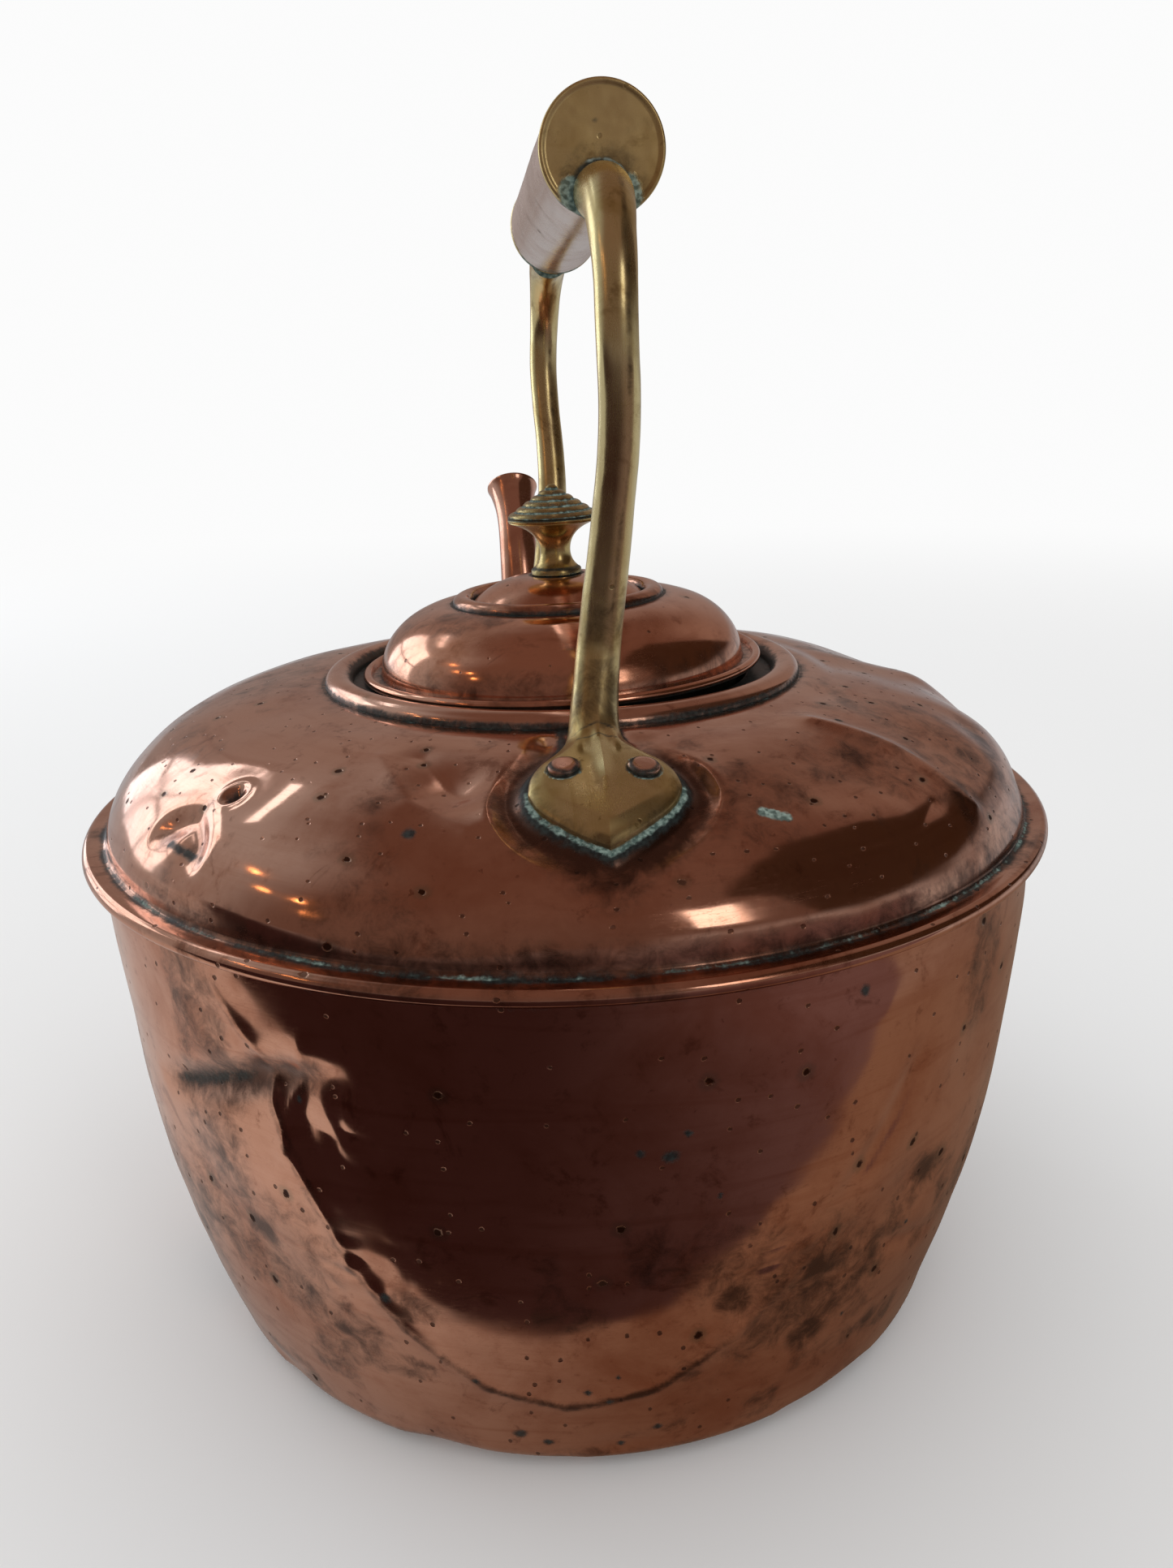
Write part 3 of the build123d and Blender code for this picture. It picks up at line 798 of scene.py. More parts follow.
def make_knob(paint):
    base = lid_cap_height + gap
    edge = 1.1
    ridge_low = base + knob_brim_height + edge
    button = 1.6
    ridges = 5
    foot = [(TENON, base), (5.7, base), (6.0, base + 0.3), (6.0, base + 1.2), (5.75, base + 1.5)]
    waist = curve([(5.6, 1.5), (4.4, 2.8), (3.65, 5.9), (4.8, 9.1), (7.6, 11.3), (10.6, 12.5)], 40)
    rim = oval((knob_brim - 0.55, ridge_low - edge / 2), 0.55, edge / 2, -60, 80, 10)
    step = (base + knob_height - ridge_low) / (ridges + 1)
    tread = (knob_brim - button) / ridges
    treads = []
    for ridge in range(ridges):
        part = np.linspace(0.06, 0.94, 11)
        bulge = 0.42 * np.sin(part * math.pi) ** 0.7 - 0.12
        out = knob_brim - tread * (ridge + part) + bulge * 0.5
        treads.append(np.stack([out, ridge_low + step * (ridge + part) + bulge], 1))
    peak = oval((0, ridge_low + step * ridges), button - 0.1, step, 0, 88, 10)
    tail = lid_ceiling - 2 * gap - WASHER
    stem = [(0.4, tail - 0.9), (2.8, tail - 0.9), (2.8, tail), (TENON, tail)]
    rings = turned(np.concatenate([stem, foot, waist + (0, base), rim, *treads, peak]), 160)

    def dark(points):
        out = lid_reach(points)
        level = lid_level(points) - base
        above = level > knob_brim_height + 0.6
        grooves = most(*(hill(out - knob_brim + tread * ridge, 0.33) for ridge in range(ridges + 1)))
        return most(grooves * above, 0.8 * hill(level - 1.6, 0.6), 0.6 * hill(level, 0.8), 0.45 * above)

    def green(points):
        level = lid_level(points) - base
        above = ease(level, knob_brim_height + 0.6, knob_brim_height + 1.4)
        return most(0.75 * above * dark(points), 0.5 * hill(level - 0.3, 0.5))

    piece = build("knob_turning", [shell(on_lid(rings))], (dark, green))
    settle(piece, "lid", paint, "knob")


# ---- Handle ----


def leg_lean(height, way):
    """How far a leg's middle stands towards +X at a height. The front leg bows the other way."""
    climb = np.clip((height - crown) / (leg_sway_height - crown), 0, 1)
    lean = leg_sway * np.sin(climb * math.pi / 2) - 1.7 * ease(height, 203, 232)
    lean = lean + 0.3 * ease(height, 240, 252)
    return lean - (way > 0) * (1.0 * ease(height, 205, 240) + 2.0 * hill(height - 213, 17))


def leg_rings(way):
    """Rings down one leg from the grip's cap to the foot's tip. way is -1 at the rear."""
    steps, bend_steps, foot_steps = 120, 44, 149
    path = [(grip_half + gap, leg_top), (54.5, 251.05), (67.0, 245.0), (73.0, 231.0), (66.0, 197.0)]
    line = curve([*path, (61.3, 172.0)], steps)
    along = unit(np.gradient(line, axis=0))
    outward = np.stack([-along[:, 1], along[:, 0]], 1)
    widths = curve([(0, 5.15), (8, 4.9), (20, 4.25), (40, 3.8), (60, 3.8), (80, 4.05), (100, 4.35)], 100)
    half = np.interp(np.linspace(0, 100, steps), widths[:, 0], widths[:, 1])
    land, heel = 77.0, 66.0  # where the leg's outer and inner side reach the foot
    neck = 4.9
    tip = foot_tip - 2 * gap
    foot_part = 1 - np.linspace(1, 0, foot_steps + 1)[1:] ** 1.6
    outer_foot = land + (tip - land) * foot_part
    inner_foot = np.minimum(heel + (tip - heel) * ease(foot_part, 0, 1.0) ** 0.8, outer_foot)

    def side_line(way_out, bend, foot):
        """The leg's outer or inner side, through its bend and on to the foot."""
        leg = line + way_out * outward * half[:, None]
        picks = np.linspace(6, 199, bend_steps).astype(int)
        turn = curve([*leg[-2:], *bend], 200)[picks]
        return np.concatenate([leg, turn, np.stack([foot, np.zeros(foot_steps)], 1)])

    outer_bend = ((66.6, 165.0), (70.6, 157.6), (land, dome_height(land) + foot_thickness))
    inner_bend = ((57.9, 164.0), (60.6, 156.0), (heel, dome_height(heel)))
    outer = side_line(1, outer_bend, outer_foot)
    inner = side_line(-1, inner_bend, inner_foot)
    bend_stage = ease(np.arange(bend_steps) / (bend_steps - 1), 0.25, 1.0)
    stage = np.concatenate([np.zeros(steps), bend_stage, np.ones(foot_steps)])[:, None]
    bend_half = np.linspace(half[-1], neck, bend_steps)
    leg_half = np.concatenate([half, bend_half, np.full(foot_steps, neck)])[:, None]

    angles = np.arange(96) * 2 * math.pi / 96
    side = np.cos(angles)
    round_share = (1 + np.sin(angles)) / 2
    distance = inner[:, :1] + round_share * (outer[:, :1] - inner[:, :1])
    wide = foot_width(np.maximum(distance, foot_back))
    slope = (foot_width(distance + 0.3) - foot_width(np.maximum(distance - 0.3, foot_back))) / 0.6
    top = np.sin(angles) > -1e-9
    edge = (wide * (1 - np.abs(side))) / np.sqrt(1 + slope**2)
    bevel = np.sqrt(np.clip(1 - (1 - np.minimum(edge / 1.9, 1)) ** 2, 0, 1))
    x = side * ((1 - stage) * leg_half + stage * wide)
    crest = 0.9 * hill(x, 1.0) * (1 - ease(distance, 82, 93)) + 1.1 * np.clip(1 - (x / 14) ** 2, 0, 1)
    notch = 0.35 * hill(np.hypot((np.abs(x) - 3.0) / 0.5, (distance - 76.5) / 1.8), 1.0)
    over = (0.36 + 0.64 * bevel) * foot_thickness + crest * ease(edge, 0.8, 3) - notch
    z_plate = dome_height(np.hypot(x, distance)) + gap + np.where(top, over, 0)
    z_leg = inner[:, 1:] + round_share * (outer[:, 1:] - inner[:, 1:])
    z = np.where(stage > 0.999, z_plate, (1 - stage) * z_leg + stage * z_plate)
    x = x + leg_lean(z, way) + foot_drift(distance) * (z < crown)
    return np.stack([x, way * distance, z], -1)


def off_edge(points):
    """How far inside a foot's outline points are, seen from above."""
    distance = np.abs(points[..., 1])
    return foot_width(np.clip(distance, foot_back, foot_tip)) - np.abs(points[..., 0] - foot_drift(distance))


def rivet_seats(way):
    """Where a foot's rivets stand on the shoulder."""
    seats = []
    for across, reach in rivet_places:
        out = way * math.sqrt(reach**2 - across**2)
        seats.append(np.array([across, out, dome_height(reach)]))
    return seats


def off_rivets(points, way):
    """Distance to the nearest place where a rivet comes out of a foot."""
    tops = [seat + dome_normal(seat) * foot_thickness for seat in rivet_seats(way)]
    return np.min([off(points, top) for top in tops], axis=0)


def make_leg(name, way, paint):
    rings = leg_rings(way)
    drift = 0.09 * cloud(rings, 9) + 0.03 * cloud(rings, 3)
    away = rings - rings.mean(1, keepdims=True)
    rings = rings + away / np.maximum(np.linalg.norm(away, axis=-1, keepdims=True), 1) * drift[..., None]

    def over_ground(points):
        return points[:, 2] - dome_height(reach_of(points))

    def dark(points):
        height = points[:, 2]
        distance = np.abs(points[:, 1])
        edge = 0.8 * hill(over_ground(points), 0.7) * (height < 160)
        root = hill(distance - grip_half, 1.1) * (height > 240)
        rivets = 0.9 * hill(off_rivets(points, way) - 3.0, 0.7)
        across = (np.abs(points[:, 0]) < 4.2) * (height < 160)
        notches = 0.7 * most(hill(distance - 70.2, 0.35), hill(distance - 72.6, 0.35)) * across
        return most(edge, root, rivets, notches)

    def smoke_and_shade(points):
        height = points[:, 2]
        aside = points[:, 0] - leg_lean(height, way)
        streak = 0.6 * hill(aside - 1.6 - 0.5 * cloud(points, 12), 0.6) * (0.6 + 0.5 * cloud(points + 60, 8))
        film = 0.25 * ease(cloud(points * (1, 1, 0.5), 6), 0.1, 0.6) * (height > 156)
        band = 0.45 * hill(height - 176 - 3 * cloud(points, 5), 6)
        # Painted shade: darker at the neck, where the leg bends into the foot, and along the foot's edges.
        neck = 0.5 * hill(np.abs(points[:, 1]) - 67, 4) * (height < 168)
        around_foot = 0.45 * hill(off_edge(points), 2.2) * (height < 156)
        return most(streak * (height > 160), film, band, neck, around_foot)

    def green(points):
        distance = np.abs(points[:, 1])
        edge = 0.7 * hill(over_ground(points), 0.5) * ease(distance, 79, 84)
        root = 0.9 * hill(distance - grip_half, 0.9) * (points[:, 2] > 240)
        return most(edge, root, 0.62 * hill(off_rivets(points, way) - 3.5, 0.45))

    piece = build(name + "_casting", [shell(rings)], (dark, green, smoke_and_shade), sharp=35)
    settle(piece, "vessel", paint, name)


def make_grip(paint):
    half = grip_half - cap_thickness - gap
    bore = grip_radius - grip_sheet
    outer = np.stack([np.full(120, grip_radius), np.linspace(-half, half, 120)], 1)
    inner = np.stack([np.full(30, bore), np.linspace(half, -half, 30)], 1)
    rings = turned(np.concatenate([outer, inner]), 240)
    worn = 0.16 * cloud(rings, 24) + 0.05 * cloud(rings, 8)
    seam = 0.22 * fold(np.abs(np.radians(turn_of(rings) + 118)) * grip_radius, 0.35)
    ends = ease(np.abs(rings[..., 2]), half - 6, half - 0.5)
    rings = rings - rings * FLAT / grip_radius * (worn * (1 - ends) + seam)[..., None]
    rings = moved(rings, grip_middle, (0, 1, 0))

    def dark(points):
        return 0.9 * hill(np.abs(points[:, 1]) - half, 0.8)

    def green(points):
        low = ease(grip_middle[2] - points[:, 2], 2, 8)
        return 0.85 * hill(np.abs(points[:, 1]) - half, 1.6) * low

    piece = build("grip_sleeve", [shell(rings, closed=True)], (dark, green))
    settle(piece, "vessel", paint, "grip_tube")


def make_cap(name, way, paint):
    plug = grip_radius - grip_sheet - gap
    plug_end = -3.0
    face = cap_thickness - 0.28
    outline = [
        [(0.5, plug_end), (plug, plug_end), (plug, 0), (cap_radius - 0.15, 0), (cap_radius, 0.2)],
        oval((cap_radius - 0.5, cap_thickness - 0.5), 0.5, 0.5, 0, 110, 9),
        [(cap_radius - 0.95, cap_thickness - 0.16)],
        np.stack([np.linspace(10.4, 0.4, 44), np.full(44, face - 0.05)], 1),
    ]
    rings = turned(np.concatenate(outline), 180)
    rings[..., 2] += (0.06 * cloud(rings, 5) + 0.02 * cloud(rings, 1.5)) * (rings[..., 2] > face - 0.2)
    rings = moved(rings, (grip_middle[0], way * (grip_half - cap_thickness), grip_middle[2]), (0, way, 0))
    root = np.array([leg_lean(leg_top, way), way * grip_half, leg_top])

    def dark(points):
        spot = (grip_middle[0] - 1.2, way * grip_half, grip_middle[2] + 4.6)
        return most(0.85 * hill(off(points, root) - 5.4, 1.1), 0.75 * near(points, spot, 0.75))

    def smoke_and_shade(points):
        # Painted shade round the leg's root on the cap.
        rim = 0.5 * hill(off(points, root) - 6, 3)
        return most(rim, 0.22 * ease(cloud(points + 33, 5), 0.1, 0.6))

    def green(points):
        beside = hill(off(points, root) - 6.2, 1.9) * ease(leg_top + 5.5 - points[:, 2], 0, 4)
        return most(beside, 0.5 * hill(np.abs(points[:, 1]) - grip_half + cap_thickness, 0.5))

    def pale(points):
        crust = 0.68 * hill(off(points, root) - 5.9, 0.6) * ease(points[:, 2], leg_top + 1, leg_top + 4)
        blot = 0.62 * near(points, root + (2.2, 0, 7.6), 1.5)
        aside = points[:, 0] - grip_middle[0] + 1.8
        scratch = 0.5 * hill(aside, 0.3) * (np.abs(points[:, 2] - grip_middle[2]) < 2)
        return most(crust, blot, scratch)

    piece = build(name + "_disc", [shell(rings)], (dark, green, pale, smoke_and_shade))
    settle(piece, "vessel", paint, name)


def make_rivets(name, way, paint):
    head = foot_thickness + 3 * gap
    tail = -sheet - 6 * gap - WASHER
    stem = 1.5
    outline = [
        [(0.2, tail - 0.9), (2.0, tail - 0.9), (2.4, tail - 0.5), (2.4, tail), (stem, tail)],
        [(stem, head), (2.75, head), (2.9, head + 0.9)],
        oval((1.3, head + 0.95), 1.6, 0.9, 8, 90, 12),
        [(0.7, head + 1.87), (0.1, head + 1.9)],
    ]
    shells = []
    for side, seat in zip((-1, 1), rivet_seats(way)):
        rings = turned(np.concatenate(outline), 48)
        flat = 1 + 0.05 * np.cos(2 * np.arctan2(rings[..., 1], rings[..., 0]) + side)
        rings = rings * np.stack([flat, flat, np.ones_like(flat)], -1)
        rings[..., 2] += 0.07 * cloud(rings + 20 * side, 1.6) * (rings[..., 2] > head + 0.4)
        shells.append(shell(moved(rings, seat, dome_normal(seat))))

    def dark(points):
        return 0.8 * hill(off_rivets(points, way) - 3.0, 0.35)

    piece = build(name + "_copper", shells, [dark])
    settle(piece, "vessel", paint, name)


# ---- Materials ----


class Paint:
    """The nodes of a material or of the world. Each method adds one and returns its output."""

    def __init__(self, owner):
        owner.use_nodes = True
        self.owner = owner
        self.tree = owner.node_tree
        self.tree.nodes.clear()

    def add(self, kind, values=(), output=0, **settings):
        node = self.tree.nodes.new("ShaderNode" + kind)
        for setting, value in settings.items():
            setattr(node, setting, value)
        for key, value in dict(values).items():
            if isinstance(value, bpy.types.NodeSocket):
                self.tree.links.new(value, node.inputs[key])
            elif isinstance(value, tuple) and len(value) == 3 and node.inputs[key].type == "RGBA":
                node.inputs[key].default_value = (*value, 1)
            else:
                node.inputs[key].default_value = value
        return node.outputs[output] if node.outputs else node

    def math(self, operation, *values):
        return self.add("Math", dict(enumerate(values)), operation=operation)

    def plus(self, first, second):
        return self.math("ADD", first, second)

    def minus(self, first, second):
        return self.math("SUBTRACT", first, second)

    def times(self, first, second):
        return self.math("MULTIPLY", first, second)

    def most(self, first, second):
        return self.math("MAXIMUM", first, second)

    def step(self, value, low, high, start=0.0, end=1.0):
        values = {0: value, 1: low, 2: high, 3: start, 4: end}
        return self.add("MapRange", values, interpolation_type="SMOOTHSTEP")

    def mix(self, share, first, second):
        return self.add("Mix", {0: share, 6: first, 7: second}, output=2, data_type="RGBA")

    def noise(self, place, size, detail=3.0, rough=0.5, bend=0.0):
        values = {"Vector": place, "Scale": 1 / size, "Detail": detail}
        return self.add("TexNoise", {**values, "Roughness": rough, "Distortion": bend})

    def cells(self, place, size, output, flat):
        values = {"Vector": place, "Scale": 1 / size}
        return self.add("TexVoronoi", values, output=output, voronoi_dimensions="2D" if flat else "3D")

    def mark(self, name):
        return self.add("Attribute", output=2, attribute_name=name)

    def split(self, place):
        return self.add("SeparateXYZ", {0: place}).node.outputs

    def scaled(self, place, *scale):
        return self.add("VectorMath", {0: place, 1: scale}, operation="MULTIPLY")

    def place(self):
        """The point's place in millimetres, in its body's rest position."""
        return self.scaled(self.add("TexCoord", output=3), 1 / MM, 1 / MM, 1 / MM)

    def along(self, place, length, width):
        """Coordinates stretched across the X axis, for marks that run down the legs."""
        return self.scaled(place, 1 / width, 1 / length, 1 / length)

    def polar(self, place):
        """A point's angle round the Z axis, its distance from it, and its height."""
        x, y, z = self.split(place)
        angle = self.math("ARCTAN2", x, self.times(y, -1.0))
        return angle, self.math("SQRT", self.plus(self.math("POWER", x, 2.0), self.math("POWER", y, 2.0))), z

    def skin(self, place):
        """Flat coordinates over the vessel: round the Z axis, and down its shoulder and wall."""
        angle, reach, height = self.polar(place)
        return self.add("CombineXYZ", {0: self.times(angle, GIRTH), 1: self.minus(reach, height)})

    def around(self, place, length, width):
        """Coordinates stretched round the Z axis, for marks length long and width wide."""
        angle, reach, height = self.polar(place)
        values = {0: self.times(angle, GIRTH / length), 1: self.times(height, 1 / width)}
        values[2] = self.times(reach, 1 / width)
        return self.add("CombineXYZ", values)

    def bump(self, height, depth, normal=None):
        """A bump of depth millimetres."""
        values = {"Height": height, "Strength": 1.0, "Distance": depth * MM}
        if normal:
            values["Normal"] = normal
        return self.add("Bump", values)

    def surface(self, colour, rough, normal, metallic=0.0):
        values = {"Base Color": colour, "Metallic": metallic, "Roughness": rough, "Normal": normal}
        return self.add("BsdfPrincipled", values)

    def finish(self, shader):
        self.add("OutputMaterial", {"Surface": shader})
        return self.owner


GIRTH = 100.0  # flat coordinates round the vessel are arcs of this radius
HALO = (0.30, 0.25, 0.17)
# Dark brown for smoke, and for painted shade in grooves, creases and corners.
SMOKE_AND_SHADE = (0.06, 0.032, 0.024)
# Near black for grime in joints and pits, and for painted shade in gaps.
GRIME_AND_SHADE = (0.012, 0.018, 0.017)
VERDIGRIS = (0.05, 0.09, 0.075)
PALE_VERDIGRIS = (0.25, 0.33, 0.28)
CRUST = (0.33, 0.37, 0.33)


def tarnished(p, place, drawn, tints, tarnish, cloudy, mottled, lines):
    """The metal's colour under its film and stains, and its fine scratches."""
    colour, film, stain = tints
    clouded = p.step(p.plus(cloudy, p.times(mottled, 0.3)), 0.72 - tarnish * 0.3, 0.9)
    smears = p.noise(drawn(place, 46, 5), 1, 3, 0.55, 0.8)
    blotch = p.step(p.noise(place, 19, 6, 0.7, 1.2), 0.6, 0.7)
    hairs = p.math("ABSOLUTE", p.minus(p.noise(drawn(place, 8, 1.1), 1, 3, 0.6, 1.6), 0.5))
    hairs = p.times(p.step(hairs, 0.012, 0.002), p.step(p.noise(place, 23, 3), 0.42, 0.62))
    dusty = p.step(p.noise(place, 1.9, 4, 0.7), 0.62, 0.8)
    layers = (
        (clouded, film),
        (p.step(smears, 0.52, 0.75, 0.0, 0.5), film),
        (p.times(blotch, 0.65 * tarnish + 0.15), stain),
        (lines, film),
        (p.times(p.step(mottled, 0.56, 0.74), 0.35 + 0.4 * tarnish), stain),
        (p.times(hairs, 0.4), film),
        (p.times(dusty, 0.3), stain),
    )
    for share, tint in layers:
        colour = p.mix(share, colour, tint)
    return colour, hairs


def pocks(p, spread, jitter, size, torn, least, flat):
    """Distances from scattered spots about size apart, and a choice of some of them."""
    ragged = p.plus(p.cells(spread, size, 0, flat), p.times(jitter, torn))
    return ragged, p.step(p.add("SeparateColor", {0: p.cells(spread, size, 1, flat)}), least, least + 0.04)


def fringed(p, name, fray, low, high):
    """A mark on the mesh with an uneven edge."""
    frayed = p.plus(p.mark(name), p.times(fray, p.step(p.mark(name), 0.02, 0.3)))
    return p.step(frayed, low, high)


def worn_metal(name, tints, shine, tarnish=0.5, pitted=1.0, brushed=0.35, upright=False, vessel=False):
    """Old polished metal: cloudy film, stains, pits, polishing lines, and smoke, grime and verdigris
    where the marks on the mesh ask for them; the smoke and dark marks also paint shade into gaps, creases and
    corners. tints are the colours of bright, filmed and stained metal, and shine is the roughness of clean
    and of filmed metal."""
    p = Paint(bpy.data.materials.new(name))
    place = p.place()
    cloudy = p.noise(place, 34, 5, 0.62, 0.6)
    mottled = p.noise(place, 7, 6, 0.68, 0.3)
    drawn = p.along if upright else p.around
    lines = p.noise(drawn(place, 26, 0.35), 1, 4, 0.6)
    streaky = p.times(p.step(lines, 0.5, 0.72), brushed * 0.35)
    colour, hairs = tarnished(p, place, drawn, tints, tarnish, cloudy, mottled, streaky)
    stain = tints[2]

    jitter = p.noise(place, 1.3, 3)
    spread = p.skin(place) if vessel else place
    ragged, chosen = pocks(p, spread, jitter, 15, 0.08, 0.66, vessel)
    pits = p.times(p.step(ragged, 0.105, 0.075), p.times(chosen, pitted))
    halo = p.times(p.step(ragged, 0.2, 0.11), p.times(chosen, 0.4 * pitted))
    ragged, chosen = pocks(p, spread, jitter, 6, 0.12, 0.68, vessel)
    pits = p.most(pits, p.times(p.step(ragged, 0.15, 0.11), p.times(chosen, 0.7 * pitted)))
    freckles = p.times(p.step(p.noise(place, 2.6, 4, 0.6), 0.66, 0.72), p.step(cloudy, 0.45, 0.6))
    # The smoke mark is partly smoke and partly painted shade in grooves, creases, corners and the hollows
    # round the feet.
    smoke_and_shade = p.mark("smoke_and_shade")
    drifting = p.times(p.minus(p.noise(place, 5, 6, 0.7, 0.5), 0.5), p.step(smoke_and_shade, 0.02, 0.3, 0, 1.6))
    smoke_and_shade = p.step(p.plus(smoke_and_shade, drifting), 0.08, 0.95)
    colour = p.mix(halo, colour, HALO)
    colour = p.mix(pits, colour, tuple(0.3 * part for part in stain))
    colour = p.mix(p.times(freckles, 0.55), colour, stain)
    colour = p.mix(p.times(smoke_and_shade, 0.88), colour, SMOKE_AND_SHADE)

    fray = p.times(p.minus(p.noise(place, 2.2, 5, 0.65), 0.5), 0.9)
    dark = fringed(p, "dark", fray, 0.28, 0.85)
    green = fringed(p, "green", fray, 0.4, 0.75)
    pale = fringed(p, "pale", fray, 0.5, 0.9)

    rough = p.step(p.plus(cloudy, p.times(mottled, 0.4)), 0.45, 0.95, *shine)
    for amount, share in ((streaky, 0.25), (pits, 0.4), (p.plus(smoke_and_shade, hairs), 0.12)):
        rough = p.plus(rough, p.times(amount, share))
    normal = p.bump(lines, 0.004 * brushed)
    for height, depth in ((p.noise(place, 10, 2), 0.05), (pits, -0.12), (p.times(green, mottled), 0.2)):
        normal = p.bump(height, depth, normal)

    # The dark mark turns the metal near black: grime in joints and pits, and painted shade in the gaps round
    # the lid, under the rim and inside the spout.
    speck = p.step(p.noise(place, 0.9, 3), 0.35, 0.7)
    soot_and_shade = p.mix(speck, GRIME_AND_SHADE, tuple(2.6 * part for part in GRIME_AND_SHADE))
    verdigris = p.mix(pale, p.mix(speck, VERDIGRIS, PALE_VERDIGRIS), CRUST)
    metal = p.surface(colour, rough, normal, 1.0)
    sooty_and_shaded = {0: p.times(dark, 0.93), 1: metal, 2: p.surface(soot_and_shade, 0.5, normal, 0.5)}
    share = p.most(p.times(green, 0.9), p.times(pale, 0.8))
    crusted = {0: share, 1: p.add("MixShader", sooty_and_shaded), 2: p.surface(verdigris, 0.85, normal)}
    return p.finish(p.add("MixShader", crusted))


def vessel_paint():
    tints = ((0.80, 0.45, 0.315), (0.57, 0.25, 0.15), (0.25, 0.085, 0.04))
    return worn_metal("copper_vessel", tints, (0.06, 0.17), 0.66, vessel=True)


def collar_paint():
    tints = ((0.84, 0.49, 0.35), (0.6, 0.28, 0.18), (0.27, 0.1, 0.05))
    return worn_metal("copper_collar", tints, (0.1, 0.22))


def lid_paint():
    tints = ((0.86, 0.45, 0.3), (0.58, 0.24, 0.13), (0.26, 0.08, 0.035))
    return worn_metal("copper_lid", tints, (0.07, 0.18), 0.5)


def spout_paint():
    tints = ((0.86, 0.47, 0.33), (0.62, 0.28, 0.17), (0.32, 0.12, 0.06))
    return worn_metal("copper_spout", tints, (0.1, 0.24), 0.45)


def grip_paint():
    tints = ((0.84, 0.70, 0.62), (0.66, 0.50, 0.42), (0.36, 0.24, 0.18))
    return worn_metal("copper_grip", tints, (0.2, 0.34), 0.4, 0.6, 0.15, upright=True)


def rivet_paint():
    tints = ((0.95, 0.6, 0.45), (0.8, 0.42, 0.3), (0.5, 0.22, 0.15))
    return worn_metal("copper_rivets", tints, (0.16, 0.3), 0.4, 0.5)


def brass_paint():
    tints = ((0.88, 0.73, 0.38), (0.56, 0.40, 0.14), (0.24, 0.13, 0.035))
    return worn_metal("brass_handle", tints, (0.16, 0.34), 0.5, 1.0, 0.6, upright=True)


def cap_paint():
    tints = ((0.86, 0.68, 0.32), (0.66, 0.48, 0.19), (0.34, 0.22, 0.08))
    return worn_metal("brass_caps", tints, (0.24, 0.4), 0.4, 0.5)


def knob_paint():
    tints = ((0.74, 0.58, 0.25), (0.42, 0.29, 0.1), (0.16, 0.09, 0.03))
    return worn_metal("brass_knob", tints, (0.16, 0.34), 0.7)


def underside_paint():
    """Copper that has stood on a stove: browner and duller."""
    tints = ((0.6, 0.32, 0.22), (0.36, 0.17, 0.11), (0.1, 0.05, 0.035))
    return worn_metal("copper_base", tints, (0.3, 0.5), 0.8)


def sleeve_paint():
    """Tin painted near black for the shade in the gap between the lid and the mouth."""
    tints = ((0.13, 0.12, 0.09), (0.07, 0.07, 0.055), (0.03, 0.035, 0.03))
    return worn_metal("sleeve_in_painted_shade", tints, (0.35, 0.55), 0.6, 0.5)


def tinned_paint():
    """The tin that covers the washers inside."""
    tints = ((0.62, 0.6, 0.56), (0.45, 0.42, 0.38), (0.25, 0.2, 0.16))
    return worn_metal("tinned_copper", tints, (0.3, 0.5), 0.6, 0.5)


def carry(paint, *nodes):
    """Puts a material on CAD nodes that keep their own meshes."""
    for node in nodes:
        for slot in frame["nodes"][node].material_slots:
            slot.material = paint


# ---- Kettle ----

vessel_copper = vessel_paint()
brass = brass_paint()
cap_brass = cap_paint()
rivet_copper = rivet_paint()

make_shoulder(vessel_copper)
make_wall(vessel_copper)
make_collar(collar_paint())
make_spout(spout_paint())
make_lid(lid_paint())
make_knob(knob_paint())
make_grip(grip_paint())
for end, way in (("rear", -1), ("front", 1)):
    make_leg(end + "_leg", way, brass)
    make_cap(end + "_grip_cap", way, cap_brass)
    make_rivets(end + "_rivets", way, rivet_copper)

carry(underside_paint(), "base_pan")
carry(sleeve_paint(), "lid_sleeve")
carry(tinned_paint(), "knob_washer", "rear_roves", "front_roves")


# ---- Room ----

TABLE_EDGE = -127.0  # the copper shows a table that ends this far from the kettle's axis, at x = 0
TABLE_SKEW = -0.125  # how far the edge moves along Y for each millimetre along X
FLOOR = (0.86, 0.85, 0.83)
FLOOR_HALF = 5.0  # metres, like the lights
FLOOR_HEIGHT = -2e-4
SKY = (0.97, 0.97, 0.97)
AIM_HEIGHT = 0.12


def stand(name, data):
    """An object for data, in the scene."""
    thing = bpy.data.objects.new(name, data)
    bpy.context.scene.collection.objects.link(thing)
    return thing


def aim(turn, rise, distance):
    """A place seen from the kettle at a turn and a rise in degrees, in metres."""
    angle, height = math.radians(turn), math.radians(rise)
    flat = distance * math.cos(height)
    return Vector((flat * math.sin(angle), -flat * math.cos(angle), AIM_HEIGHT + distance * math.sin(height)))


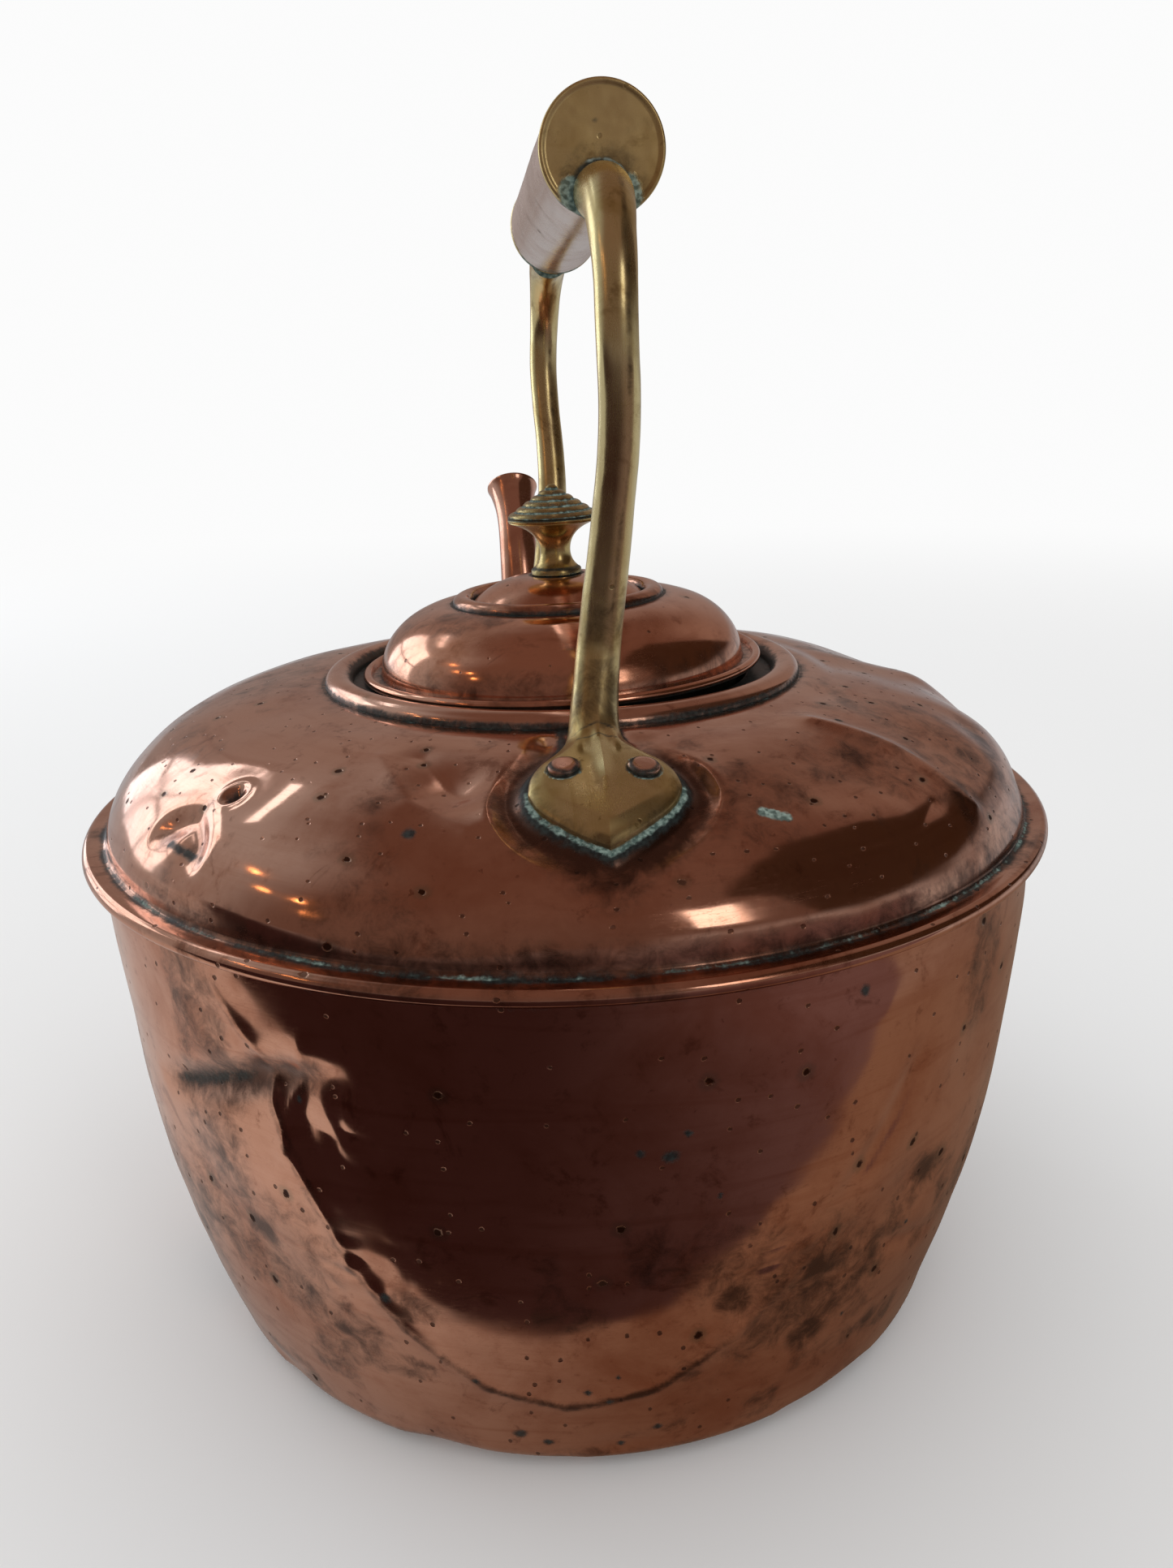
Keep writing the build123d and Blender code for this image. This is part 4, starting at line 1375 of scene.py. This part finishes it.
def add_floor():
    """A pale floor. Reflections in the kettle see it glow as a painted tabletop, with painted light on its
    left and far side and a painted shadow round the kettle's foot, and a dark room beyond its edge.
    """
    p = Paint(bpy.data.materials.new("pale_floor"))
    place = p.place()
    x, y, _ = p.split(place)
    reach = p.add("VectorMath", {0: place}, output=1, operation="LENGTH")
    grain = p.noise(place, 130, 4)
    edge = p.minus(y, p.times(x, TABLE_SKEW))
    # Painted light on the reflected tabletop: browner on the right, a painted shadow round the kettle's foot,
    # and paler far off.
    layers = (
        (p.step(x, 15, 110), (0.23, 0.155, 0.11)),
        (p.times(grain, 0.35), (0.16, 0.1, 0.07)),
        (p.step(reach, 165, 92, 0.0, 0.5), (0.05, 0.025, 0.015)),
        (p.step(reach, 220, 700), (0.42, 0.42, 0.43)),
    )
    # Paler on the left, where the window's light falls, than on the right: painted light.
    table = p.mix(p.step(x, -95, 15), (0.61, 0.55, 0.52), (0.27, 0.18, 0.13))
    for share, colour in layers:
        table = p.mix(share, table, colour)
    room = p.mix(p.step(x, -80, 260), (0.032, 0.015, 0.015), (0.15, 0.10, 0.105))
    room = p.mix(p.step(y, -350, -1300), room, (0.17, 0.14, 0.14))
    seen = p.mix(p.step(edge, TABLE_EDGE - 4, TABLE_EDGE + 3), room, table)
    # The tabletop glows for glossy rays: a painted reflection that no lamp lights.
    mirrored = p.add("Emission", {"Color": seen})
    pale = p.add("BsdfDiffuse", {"Color": p.mix(p.times(grain, 0.08), FLOOR, (0.8, 0.79, 0.77))})
    far = p.add("Emission", {"Color": SKY})
    pale = p.add("MixShader", {0: p.step(reach, 500, 1900), 1: pale, 2: far})
    glossy = p.add("LightPath").node.outputs["Is Glossy Ray"]
    mesh = bpy.data.meshes.new("floor")
    low, high = -FLOOR_HALF, FLOOR_HALF
    square = [(x, y, FLOOR_HEIGHT) for x, y in ((low, low), (high, low), (high, high), (low, high))]
    mesh.from_pydata(square, [], [(0, 1, 2, 3)])
    mesh.materials.append(p.finish(p.add("MixShader", {0: glossy, 1: pale, 2: mirrored})))
    stand("floor", mesh)


def add_world():
    """Soft white light for the floor, a pale backdrop for the camera, a dim warm room in the metal."""
    world = bpy.data.worlds.new("studio")
    bpy.context.scene.world = world
    p = Paint(world)
    way = p.add("TexCoord")
    x, y, z = p.split(way)
    blur = p.times(p.minus(p.noise(way, 1 / 2.2), 0.5), 0.5)
    up = p.plus(z, p.times(blur, 0.4))
    left = p.times(p.step(x, 0.1, -0.45), p.step(y, -0.35, 0.2))
    behind = p.times(p.step(y, 0.5, 0.9), p.step(up, 0.85, 0.6))
    behind_right = p.times(p.step(x, 0.3, 0.7), p.step(y, 0.1, 0.5))
    right = p.times(p.step(p.plus(x, p.times(blur, 0.5)), 0.44, 0.46), p.step(y, -0.6, -0.56))
    right = p.times(right, p.step(p.plus(y, p.times(z, 0.89)), 0.77, 0.73))
    low = p.times(p.step(up, 0.16, 0.02), p.step(x, 0.1, 0.5))
    layers = (
        (p.times(left, p.step(up, 0.92, 0.7)), (0.36, 0.37, 0.39)),
        (behind, (0.29, 0.24, 0.22)),
        (behind_right, (0.25, 0.19, 0.165)),
        (p.times(right, p.step(up, 0.84, 0.82)), (0.04, 0.02, 0.01)),
        (low, (0.30, 0.29, 0.30)),
    )
    room = p.mix(p.step(up, 0.2, 0.95), (0.135, 0.09, 0.075), (0.15, 0.09, 0.07))
    for share, colour in layers:
        room = p.mix(share, room, colour)
    kinds = p.add("LightPath").node.outputs
    seen = p.mix(kinds["Is Glossy Ray"], (0.92, 0.93, 0.95), room)
    seen = p.mix(kinds["Is Camera Ray"], seen, SKY)
    p.add("OutputWorld", {"Surface": p.add("Background", {"Color": seen})})


def add_window(name, turn, rise, distance, width, height, radiance, colour):
    """A rectangle of light that faces the kettle."""
    light = bpy.data.lights.new(name, "AREA")
    light.shape = "RECTANGLE"
    light.size = width
    light.size_y = height
    light.energy = radiance * math.pi * width * height
    light.color = colour
    lamp = stand(name, light)
    lamp.location = aim(turn, rise, distance)
    lamp.rotation_euler = (Vector((0, 0, AIM_HEIGHT)) - lamp.location).to_track_quat("-Z", "Y").to_euler()
    lamp.visible_camera = False


def add_lights():
    daylight = (1.7, (0.9, 1.0, 1.12))
    for column, turn in enumerate((-142, -131, -120)):
        for row, rise in enumerate((7, 24)):
            add_window(f"window_{column}_{row}", turn, rise, 2.0, 0.33, 0.54, *daylight)
    add_window("transom", -135, 42, 2.0, 0.62, 0.13, *daylight)
    add_window("door_glow", 29, 24, 2.2, 0.46, 0.75, 1.9, (1, 0.98, 0.96))
    for lamp, (turn, rise) in enumerate(((-64, 24), (-70, 31), (-80, 29), (-89, 36))):
        add_window(f"lamp_{lamp}", turn, rise, 1.8, 0.075, 0.06, 7, (1, 0.5, 0.2))


CAMERA_PLACE = (-24.346, -293.354, 215.878)
CAMERA_YAW = 5.75  # degrees from +Y towards +X
CAMERA_PITCH = 17.65  # degrees down
CAMERA_ROLL = -1.52
CAMERA_LENS = 27.891


def add_camera():
    camera = bpy.data.cameras.new("photo_view")
    camera.sensor_fit = "VERTICAL"
    camera.sensor_height = 36
    camera.lens = CAMERA_LENS
    camera.clip_start = 0.01
    eye = stand("photo_view", camera)
    yaw, pitch, roll = (math.radians(angle) for angle in (CAMERA_YAW, CAMERA_PITCH, CAMERA_ROLL))
    ahead = Vector((math.sin(yaw) * math.cos(pitch), math.cos(yaw) * math.cos(pitch), -math.sin(pitch)))
    right = Vector((math.cos(yaw), -math.sin(yaw), 0))
    up = right.cross(ahead)
    x_axis = math.cos(roll) * right + math.sin(roll) * up
    y_axis = math.cos(roll) * up - math.sin(roll) * right
    turn = Matrix((x_axis, y_axis, -ahead)).transposed().to_4x4()
    eye.matrix_world = Matrix.Translation(Vector(CAMERA_PLACE) * MM) @ turn
    bpy.context.scene.camera = eye


add_floor()
add_world()
add_lights()
add_camera()
bpy.context.scene.view_settings.view_transform = "Standard"
